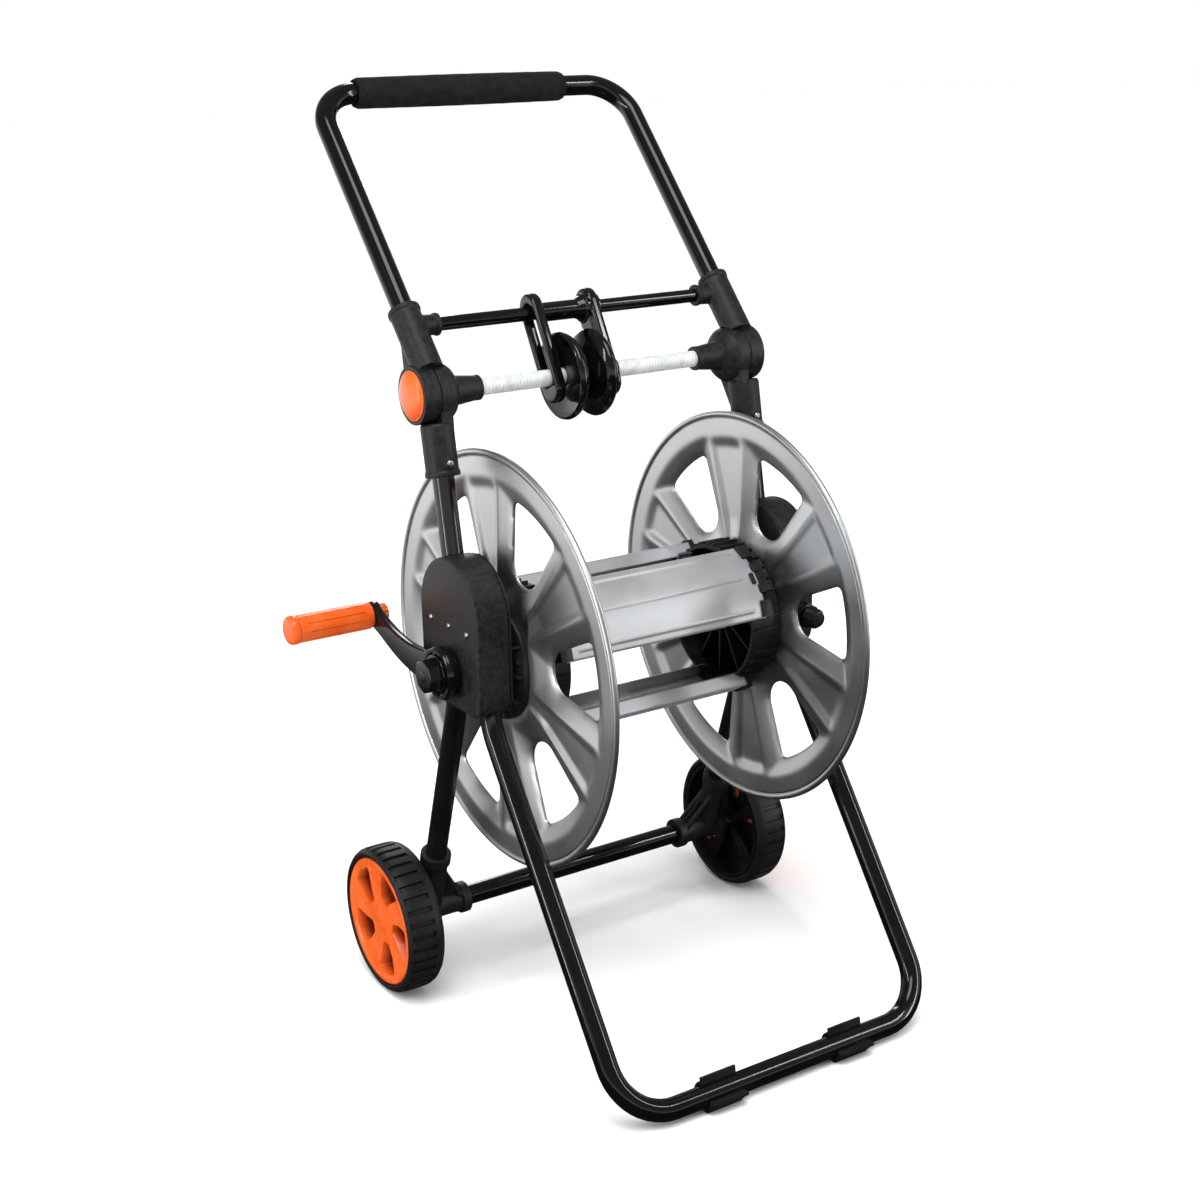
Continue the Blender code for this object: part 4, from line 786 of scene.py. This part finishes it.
# The drum's ends are black nylon mouldings on the flanges: a cup with ribs along its wall and spokes inside,
# a saddle under each stave's end, and tabs that come up at the stave's middle and over its corners.
CUP_FACE, CUP_LIP, CUP_R, SHAFT_R = 0.1475, 0.112, 0.0740, 0.0095
cup = [(CUP_R, CUP_FACE), (CUP_R, CUP_LIP), (0.0708, CUP_LIP), (0.0708, CUP_FACE - 0.004),
       (0.0160, CUP_FACE - 0.004), (0.0160, CUP_LIP + 0.006), (SHAFT_R, CUP_LIP + 0.006), (SHAFT_R, CUP_FACE)]
HUB_IN, RIBS, SPOKES, RIVETS = 0.1512, 36, 12, 6
hub_cone = [(SHAFT_R, 0.1660), (0.0290, 0.1660), (0.0310, 0.1655), (0.0440, 0.1635), (0.0500, 0.1605),
            (0.0560, 0.1570), (0.0595, 0.1545), (0.0600, 0.1520), (0.0600, HUB_IN), (SHAFT_R, HUB_IN)]
rivet_head = [(0.0, 0.1618), (0.0022, 0.1614), (0.0036, 0.1602), (0.0036, 0.158), (0.0, 0.158)]
for name, side in SIDES:
    bm = bmesh.new()
    spin_profile(bm, cup, side, REEL, steps=120)
    for rib in range(RIBS):
        fin(bm, REEL, 360 / RIBS * rib, 0.0735, 0.0775, 0.0009, side * (CUP_FACE - 0.001),
            side * (CUP_LIP + 0.003), 0.7)
    for spoke in range(SPOKES):
        fin(bm, REEL, 360 / SPOKES * spoke, 0.0155, 0.0712, 0.0010, side * (CUP_FACE - 0.0035),
            side * (CUP_LIP + 0.012))
    for number in range(STAVES):
        for turn, half, low, high, x_in, x_out in (
            (0, 0.015, 0.072, 0.0846, 0.1140, 0.1345), (0, 0.0060, 0.080, 0.0880, 0.1135, 0.1185),
            (-22, 0.0085, 0.072, 0.0884, 0.1165, 0.1300), (22, 0.0085, 0.072, 0.0884, 0.1165, 0.1300),
            (-8, 0.0045, 0.072, 0.0872, 0.1195, 0.1290), (8, 0.0045, 0.072, 0.0872, 0.1195, 0.1290),
        ):
            angle = FIRST_STAVE + STAVE_STEP * number + turn
            fin(bm, REEL, angle, low, high, half, side * x_out, side * x_in, edge=0.0006)
    finished(bm, "ribbed_drum_end_" + name, "reel", grained_nylon, ["drum_end_" + name])

    # The hub outside the flange is the same nylon: a low cone with twelve ribs, riveted through.
    bm = bmesh.new()
    spin_profile(bm, hub_cone, side, REEL, steps=120)
    for rib in range(SPOKES):
        fin(bm, REEL, 360 / SPOKES * rib, 0.0300, 0.0585, 0.0012, side * 0.1525, side * 0.1640, edge=0.0008)
    for rivet in range(RIVETS):
        spin_profile(bm, rivet_head, side, around(15 + 360 / RIVETS * rivet, 0.0520, REEL), steps=20)
    finished(bm, "ribbed_hub_" + name, "reel", grained_nylon, ["hub_" + name])

dress("crank_shaft", zinc_plate)

# The water's way: a fixed pipe into the hub, and a barbed tail inside the drum that the hose slips onto.
dress("inlet_pipe", grained_nylon)
OUTLET_X, INLET = 0.086, Vector((0.188, REEL[0] - 0.0583, 0.3905))


def barbed(bm, start, end, radius):
    """A hose tail from start to end: a hexagonal root, then barbs that step down towards the end."""
    start, end = Vector(start), Vector(end)
    rod(bm, start, start.lerp(end, 0.30), radius * 1.30, sides=6, edge=0.0007)
    rod(bm, start.lerp(end, 0.28), end, radius * 0.78, sides=32, edge=0.0006)
    for step in range(4):
        low, high = start.lerp(end, 0.40 + 0.14 * step), start.lerp(end, 0.52 + 0.14 * step)
        rod(bm, low, high, radius, radius * 0.80, sides=32)


foot, neck, root, tip = ((OUTLET_X, *around(FIRST_STAVE + STAVE_STEP / 2, reach, REEL))
                         for reach in (-0.010, 0.034, 0.030, 0.070))
bm = bmesh.new()
rod(bm, foot, neck, 0.0095, edge=0.001)
rod(bm, (OUTLET_X, *REEL), (0.1117, *REEL), 0.0105, edge=0.001)
barbed(bm, root, tip, 0.0100)
finished(bm, "outlet_tail", "reel", smooth_black, ["outlet_connector"])

neck, root, tip = (INLET - Vector((0, reach, 0)) for reach in (0.010, 0.007, 0.031))
bm = bmesh.new()
rod(bm, INLET, neck, 0.0135, edge=0.0012)
barbed(bm, root, tip, 0.0110)
finished(bm, "inlet_tail", "frame", smooth_black, ["inlet_connector"])

# ---- crank ------------------------------------------------------------------------------------------
# A polished black nylon arm, waisted and slightly sagging, with a round boss on the shaft. An octagonal
# knob of the same plastic clamps it, and a zinc-plated pin carries the grip, held by a ribbed orange cap.
# The polish gives the black deep, small, sharp highlights.
polished_nylon = new_finish("black_polished_nylon", "070708", 0.12, Specular_IOR_Level=0.5)
mottle(polished_nylon, 40, "050506", "0b0b0c", (0.08, 0.15))
grain(polished_nylon, 2.5, 0.02, 0.35)
REACH, ARM_IN, ARM_OUT = Vector((0.147, 0.0224)), 0.211, 0.220
along = REACH.normalized()
sideways = Vector((-along.y, along.x))
tilt = math.degrees(math.atan2(along.y, along.x))


def arm_edge():
    """The arm's outline about the shaft, in (Y, Z)."""
    upper, lower = [], []
    for share in (0.20 + 0.66 * step / 14 for step in range(15)):
        sag = -0.0105 * math.sin(math.pi * share) ** 1.2
        half = 0.0108 + 0.0090 * (1 - share) ** 1.6
        centre = REACH * share + sideways * sag
        upper.append(centre + sideways * half)
        lower.append(centre - sideways * half)
    hub_end = [Vector(p) for p in arc((0, 0), 0.027, tilt + 44, tilt + 316, 40)]
    grip_end = [Vector(p) for p in arc(REACH, 0.0137, tilt - 112, tilt + 124, 22)]
    return [(p.x + REEL[0], p.y + REEL[1]) for p in hub_end + lower + grip_end + upper[::-1]]


def bar_on(bm, centre, x_from, x_to, radius, end_radius=None, **settings):
    """A round bar or cone along X, on an axis through centre."""
    rod(bm, (x_from, *centre), (x_to, *centre), radius, end_radius, **settings)


raised_ring = [(0.0262, 0.2180), (0.0262, 0.2213), (0.0252, 0.2226), (0.0222, 0.2226), (0.0212, 0.2205),
               (0.0212, 0.2180)]
bm = bmesh.new()
plate(bm, arm_edge(), -ARM_IN, -ARM_OUT, 0.0022, 4)
bar_on(bm, REEL, -0.2066, -ARM_IN - 0.002, 0.024, sides=64, edge=0.001)
spin_profile(bm, raised_ring, -1, REEL, steps=80)
finished(bm, "crank_arm_moulding", "reel", polished_nylon, ["crank_arm"], 40)

bm = bmesh.new()
bar_on(bm, REEL, -0.2205, -0.2370, 0.0185, 0.0172, sides=8, edge=0.0014)
bar_on(bm, REEL, -0.2204, -0.2240, 0.0200, edge=0.0008)
bar_on(bm, REEL, -0.2360, -0.2376, 0.0060, sides=32, edge=0.0006)
finished(bm, "octagonal_knob", "reel", polished_nylon, ["crank_knob"], 30)

GRIP = (REEL[0] + REACH.x, REEL[1] + REACH.y)
dress("crank_pin", zinc_plate)
bm = bmesh.new()
bar_on(bm, GRIP, -0.2020, -0.2105, 0.0085, 0.0092, edge=0.0008)
for rib in range(12):
    bar_on(bm, around(30 * rib, 0.0088, GRIP), -0.2030, -0.2103, 0.0011, sides=10)
finished(bm, "ribbed_pin_cap", "reel", orange_shell, ["crank_pin_cap"])

# The grip is the same orange polypropylene, a hollow sleeve that turns on the pin. Ten long grooves run down
# it and stop before a collar at the arm and a smooth cap at its outer end.
GRIP_R, GRIP_BORE, FLUTES, FLUTES_FROM, FLUTES_TO = 0.0145, 0.0050, 10, 0.2300, 0.2960
grip_profile = [
    (0.0, 0.3144), (0.0085, 0.3144), (0.0112, 0.3140), (0.0138, 0.3128), (0.0150, 0.3108), (0.0152, 0.3060),
    (0.0149, 0.3046), (0.0138, 0.3040), (0.0138, 0.3026), (GRIP_R, 0.3018), (GRIP_R, 0.3005),
    (GRIP_R, FLUTES_TO), (GRIP_R, FLUTES_FROM), (GRIP_R, 0.2250), (0.0141, 0.2226), (0.0132, 0.2210),
    (GRIP_BORE, 0.2210), (GRIP_BORE, 0.3020), (0.0, 0.3020),
]
bm = bmesh.new()
spin_profile(bm, grip_profile, -1, GRIP, steps=120)
bmesh.ops.remove_doubles(bm, verts=bm.verts, dist=1e-6)
bmesh.ops.recalc_face_normals(bm, faces=bm.faces)
channels = []
for face in bm.faces:
    spot = face.calc_center_median()
    across, up = spot.y - GRIP[0], spot.z - GRIP[1]
    turn = math.degrees(math.atan2(up, across)) % (360 / FLUTES)
    if math.hypot(across, up) > 0.0142 and turn < 6 and FLUTES_FROM - 0.001 < -spot.x < FLUTES_TO + 0.001:
        channels.append(face)
sink(bm, channels, 0.0004, 0.0003, 0.0012)
finished(bm, "fluted_grip", "grip", orange_shell, ["crank_grip"])

# ---- handle hinges: lower sockets, screws and the guide rod -----------------------------------------
# Each lower socket is a dark grey glass-filled nylon moulding: a sleeve on the post, half of the hinge with
# a domed inner side, and a cone that holds the rod. One small screw pins the sleeve to its tube.
PIVOT, HINGE_R, HINGE_MID = Vector((-0.0527, 0.6548)), 0.0290, 0.1740
CROSS, TRACK_UP = Vector((-0.0190, 0.7158)), 0.1875
ENTRY, HANDLE_TOP = Vector((-0.0089, 0.7311)), Vector((0.1706, 0.9310))
post_way, handle_way = (POST_BOTTOM - POST_TOP).normalized(), (HANDLE_TOP - ENTRY).normalized()
SKIN = (0.75, 3)  # voxel in millimetres and smoothing passes, for the four sockets


def outward_of(way):
    """The side of a tube that its socket's screw goes in from, in the side plane."""
    return Vector((way.y, -way.x))


def web_to_pivot(bm, way, half, end, x_from, x_to):
    """A tapered web from the hinge's disc to a place on its sleeve."""
    wide, narrow = outward_of(way) * half, outward_of(way) * 0.0080
    plate(bm, [PIVOT - wide, PIVOT + wide, end + narrow, end - narrow], x_from, x_to)


def socket_screw(name, body, x, spot, way):
    """The screw in a socket's boss: a pan head that faces outward in the side plane."""
    bm = bmesh.new()
    dome_screw(bm, 0.0, 1, 0, 0, 0.0034)
    to_out = Vector((1, 0, 0)).rotation_difference(Vector((0, *outward_of(way)))).to_matrix()
    bmesh.ops.rotate(bm, verts=bm.verts, matrix=to_out, cent=(0, 0, 0))
    bmesh.ops.translate(bm, verts=bm.verts, vec=(x, *spot))
    level, which = name.split("_")
    finished(bm, f"{level}_pan_screw_{which}", body, zinc_plate,
             [f"{level}_socket_screw_{which}"])


for name, side in SIDES:
    x = side * TRACK
    mouth, shoulder, tip = (POST_TOP + post_way * reach for reach in (0.0396, -0.0100, -0.0125))
    screw, outward = POST_TOP + post_way * 0.027, outward_of(post_way)
    bm = bmesh.new()
    rod(bm, (x, *mouth), (x, *shoulder), 0.0165)
    rod(bm, (x, *shoulder), (x, *tip), 0.0165, 0.0150)
    rod(bm, (x, *mouth), (x, *(mouth - post_way * 0.0050)), 0.0176)
    bar_on(bm, PIVOT, side * HINGE_MID, side * 0.1866, HINGE_R)
    bar_on(bm, PIVOT, side * 0.1310, side * 0.1720, 0.0118, 0.0165)
    bar_on(bm, PIVOT, side * 0.1310, side * 0.1350, 0.0128)
    for ring in range(5):
        low, high = math.radians(15 * ring), math.radians(15 * (ring + 1))
        inner, outer = (HINGE_MID - 0.0150 * math.sin(turn) for turn in (high, low))
        bar_on(bm, PIVOT, side * inner, side * outer, HINGE_R * math.cos(high), HINGE_R * math.cos(low))
    rod(bm, (x, *(screw + outward * 0.010)), (x, *(screw + outward * 0.0195)), 0.0052, 0.0045, sides=24)
    web_to_pivot(bm, post_way, 0.025, mouth - post_way * 0.020, side * 0.1735, side * 0.1862)
    made = finished(bm, "lower_hinge_" + name, "frame", glass_nylon, ["lower_socket_" + name])
    moulded(made, *SKIN)
    socket_screw("lower_" + name, "frame", x, screw + outward * 0.0190, post_way)

# The rod between the hinges is a steel rod in a white plastic tube, ridged every 4 mm; its thin ends are
# the pins that the handle turns on. The white is clean and slightly glossy, and each ridge draws a fine line.
white_tube = new_finish("white_ridged_tube", "c6c8ca", 0.34)
mottle(white_tube, 9, "b8babc", "d3d5d7", (0.28, 0.42))
grain(white_tube, 1.4, 0.05, 0.8)
RIDGE_R, VALLEY_R, PIN_R, RIDGES, PITCH = 0.0085, 0.0079, 0.0050, 75, 0.004
rod_profile = [(0.0, 0.1935), (PIN_R, 0.1935), (PIN_R, 0.1500), (RIDGE_R, 0.1500)]
for step in range(RIDGES):
    at = 0.148 - PITCH * step
    rod_profile += [(RIDGE_R, at), (RIDGE_R, at - 0.0026), (VALLEY_R, at - 0.0031), (VALLEY_R, at - 0.0035)]
rod_profile += [(RIDGE_R, -0.1500), (PIN_R, -0.1500), (PIN_R, -0.1935), (0.0, -0.1935)]
bm = bmesh.new()
spin_profile(bm, rod_profile, 1, PIVOT, steps=48)
finished(bm, "ridged_rod", "frame", white_tube, ["guide_rod"], 50)

# ---- handle: upper sockets, tube, crossbar, grip and buttons ----------------------------------------
# The upper socket is the hinge's other half, in the same nylon: a sleeve for the handle tube, a boss for
# the crossbar, a raised line down each flank, and a round well for the button. The button is the wheels'
# orange polypropylene, a shallow dome with a fine step round it.
DOME_R, DOME_RISE, BUTTON_FACE = 0.0228, 0.0068, 0.2050
dome = [(0.0, 0.0072)]
dome += [(DOME_R * math.sin(turn), 0.0004 + DOME_RISE * math.cos(turn))
         for turn in (math.radians(9 * step) for step in range(1, 11))]
dome += [(0.0232, 0.0010), (0.0245, 0.0006), (0.0245, -0.0050), (0.0, -0.0050)]
for name, side in SIDES:
    x = side * TRACK_UP
    screw, outward = ENTRY - handle_way * 0.016, outward_of(handle_way)
    bm = bmesh.new()
    rod(bm, (x, *(ENTRY - handle_way * 0.072)), (x, *ENTRY), 0.0155)
    rod(bm, (x, *(ENTRY - handle_way * 0.0050)), (x, *ENTRY), 0.0166)
    bar_on(bm, PIVOT, side * 0.1873, side * BUTTON_FACE, HINGE_R)
    bar_on(bm, CROSS, side * 0.1560, side * 0.1830, 0.0100, 0.0112)
    bar_on(bm, CROSS, side * 0.1560, side * 0.1600, 0.0114)
    rod(bm, (x, *(screw + outward * 0.008)), (x, *(screw + outward * 0.0180)), 0.0052, 0.0045, sides=24)
    for flank in (-0.0150, 0.0150):
        high, low = ENTRY - handle_way * 0.006, ENTRY - handle_way * 0.054
        rod(bm, (x + flank, *high), (x + flank, *low), 0.0012, sides=10)
    web_to_pivot(bm, handle_way, 0.024, ENTRY - handle_way * 0.034, side * 0.1875, side * 0.2010)
    made = finished(bm, "upper_hinge_" + name, "handle", glass_nylon,
                    ["upper_socket_" + name])
    moulded(made, *SKIN)
    well, gap = bmesh.new(), bmesh.new()
    bar_on(well, PIVOT, side * 0.1945, side * 0.2150, 0.0250, sides=72)
    bar_on(gap, PIVOT, side * 0.1400, side * 0.1871, HINGE_R + 0.0006, sides=72)
    cut(made, [well, gap])
    made.data.shade_smooth()
    made.data.set_sharp_from_angle(angle=math.radians(40))
    socket_screw("upper_" + name, "handle", x, screw + outward * 0.0176, handle_way)
    bm = bmesh.new()
    spin_profile(bm, [(r, BUTTON_FACE + h) for r, h in dome], side, PIVOT, steps=96)
    finished(bm, "domed_button_" + name, "button_" + name, orange_shell,
             ["fold_button_" + name])

low_end = ENTRY - handle_way * 0.041
bow = [(-TRACK_UP, *low_end), (-TRACK_UP, *HANDLE_TOP), (TRACK_UP, *HANDLE_TOP), (TRACK_UP, *low_end)]
bm = bmesh.new()
sweep(bm, bent(bow, (0.045, 0.045), 16), TUBE_R)
finished(bm, "handle_bar", "handle", gloss_coat, ["handle_tube"])
CROSS_HALF, CROSS_R = 0.169, 0.007
bm = bmesh.new()
sweep(bm, [(-CROSS_HALF, *CROSS), (CROSS_HALF, *CROSS)], CROSS_R)
finished(bm, "crossbar_tube", "handle", gloss_coat, ["crossbar"])

# The hand grip is a sleeve of closed-cell foam rubber, pushed on left of the middle. It swells slightly
# between its ends, and its cut ends are soft. Its pores make the black dead matt and finely speckled.
foam_rubber = new_finish("black_closed_cell_foam", "161616", 0.85, Specular_IOR_Level=0.15)
mottle(foam_rubber, 11, "111111", "1d1d1d", (0.78, 0.92))
grain(foam_rubber, 1.5, 0.18, 0.9, "ShaderNodeTexVoronoi")
FOAM_LEFT, FOAM_RIGHT, FOAM_BORE, CORNER = -0.142, 0.110, 0.0112, 0.0030
cut_end = [(0.0150 - CORNER * math.cos(turn), CORNER - CORNER * math.sin(turn)) for turn in (0.3, 0.8, 1.3)]
sleeve = [(FOAM_BORE, FOAM_LEFT)] + [(radius, FOAM_LEFT + in_by) for radius, in_by in cut_end]
for step in range(25):
    swell = 0.0006 * math.sin(math.pi * step / 24) + 0.00012 * math.sin(step * 2.3)
    sleeve.append((0.0158 + swell, FOAM_LEFT + 0.004 + (FOAM_RIGHT - FOAM_LEFT - 0.008) * step / 24))
sleeve += [(radius, FOAM_RIGHT - in_by) for radius, in_by in cut_end[::-1]] + [(FOAM_BORE, FOAM_RIGHT)]
bm = bmesh.new()
spin_profile(bm, sleeve, 1, HANDLE_TOP, steps=72)
foam = finished(bm, "foam_sleeve", "handle", foam_rubber, ["foam_grip"], 60)

# ---- hose guide -------------------------------------------------------------------------------------
# Two polished black nylon arms hang between the crossbar and the rod and slide along both. The left one is
# an open loop; the right one is solid, with a boss and a sleeve on the crossbar.
guide_way = (CROSS - PIVOT).normalized()
guide_tilt = math.degrees(math.atan2(guide_way.y, guide_way.x))
span, GUIDE_R, SLOT_R = (CROSS - PIVOT).length, 0.0155, 0.0092


def oblong(low, high, radius, steps=18):
    """A slot-shaped outline along the arms, from low to high measured up from the rod."""
    top = arc(tuple(PIVOT + guide_way * high), radius, guide_tilt - 90, guide_tilt + 90, steps)
    return top + arc(tuple(PIVOT + guide_way * low), radius, guide_tilt + 90, guide_tilt + 270, steps)


def on_slot(edge):
    """Whether a rim edge of the open arm lies on its slot, rather than on its outside."""
    from_rod = (edge.verts[0].co.yz + edge.verts[1].co.yz) / 2 - PIVOT
    off, share = from_rod.dot(Vector((-guide_way.y, guide_way.x))), from_rod.dot(guide_way)
    return math.hypot(off, share - span if share > span else min(share, 0.0)) < SLOT_R + 0.0004


outline = oblong(-0.011, span + 0.005, GUIDE_R)
bm = bmesh.new()
for x in (-0.052, -0.040):
    loops = []
    for points in (outline, oblong(0.0, span, SLOT_R)):
        ring = [bm.verts.new((x, *point)) for point in points]
        loops += [bm.edges.new(pair) for pair in zip(ring, ring[1:] + ring[:1])]
    bmesh.ops.bridge_loops(bm, edges=loops)
rims = [edge for edge in bm.edges if edge.is_boundary]
for of_slot in (True, False):
    bmesh.ops.bridge_loops(bm, edges=[edge for edge in rims if on_slot(edge) == of_slot])
bmesh.ops.recalc_face_normals(bm, faces=bm.faces)
sharp = [edge for edge in bm.edges if len(edge.link_faces) == 2 and edge.calc_face_angle(0) > 1.2]
bmesh.ops.bevel(bm, geom=sharp, offset=0.0030, segments=4, profile=0.5, affect="EDGES", material=-1)
finished(bm, "guide_loop_arm", "guide", polished_nylon, ["guide_arm_left"], 40)

bm = bmesh.new()
plate(bm, outline, 0.015, 0.027, 0.0035, 4)
bar_on(bm, CROSS, 0.0115, 0.0285, 0.0150)
bar_on(bm, CROSS, -0.0397, 0.016, 0.0098)
bar_on(bm, CROSS, 0.0050, 0.0135, 0.0104, 0.0140)
bar_on(bm, PIVOT, 0.0135, 0.0290, 0.0130)
plate(bm, oblong(0.012, span - 0.012, 0.0085), 0.013, 0.018)
right_arm = finished(bm, "guide_solid_arm", "guide", polished_nylon, ["guide_arm_right"])
moulded(right_arm, 0.6, 4)

# The roller is of the same nylon: two full, rounded cheeks with a deep groove between them, the right one
# rounder, and a shallow dish in each flat face.
ROLLER_MID, ROLLER_HALF, ROLLER_BORE, GROOVE_R = -0.0125, 0.0245, 0.0091, 0.019
right_face = [(ROLLER_BORE, 0.004), (0.0130, 0.004), (0.0180, 0.0025), (0.0310, 0.0010)]
left_face = [(0.0360, 0.0015), (0.0180, 0.0025), (0.0130, 0.004), (ROLLER_BORE, 0.004)]
cheeks = []
for share in (1 - 2 * step / 24 for step in range(25)):
    full, drop = (0.62, 0.0110) if share > 0 else (0.86, 0.0030)
    swell = math.sin(math.pi / 2 * min(abs(share) / full, 1)) ** 0.9
    fall = max(abs(share) - full, 0) / (1 - full)
    cheeks.append((GROOVE_R + 0.0258 * swell - drop * fall ** 2, ROLLER_MID + share * ROLLER_HALF))
roller = [(radius, ROLLER_MID + ROLLER_HALF - in_by) for radius, in_by in right_face] + cheeks
roller += [(radius, ROLLER_MID - ROLLER_HALF + in_by) for radius, in_by in left_face]
bm = bmesh.new()
spin_profile(bm, roller, 1, PIVOT, steps=120)
finished(bm, "grooved_roller", "roller", polished_nylon, ["guide_roller"], 40)

low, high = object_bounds()
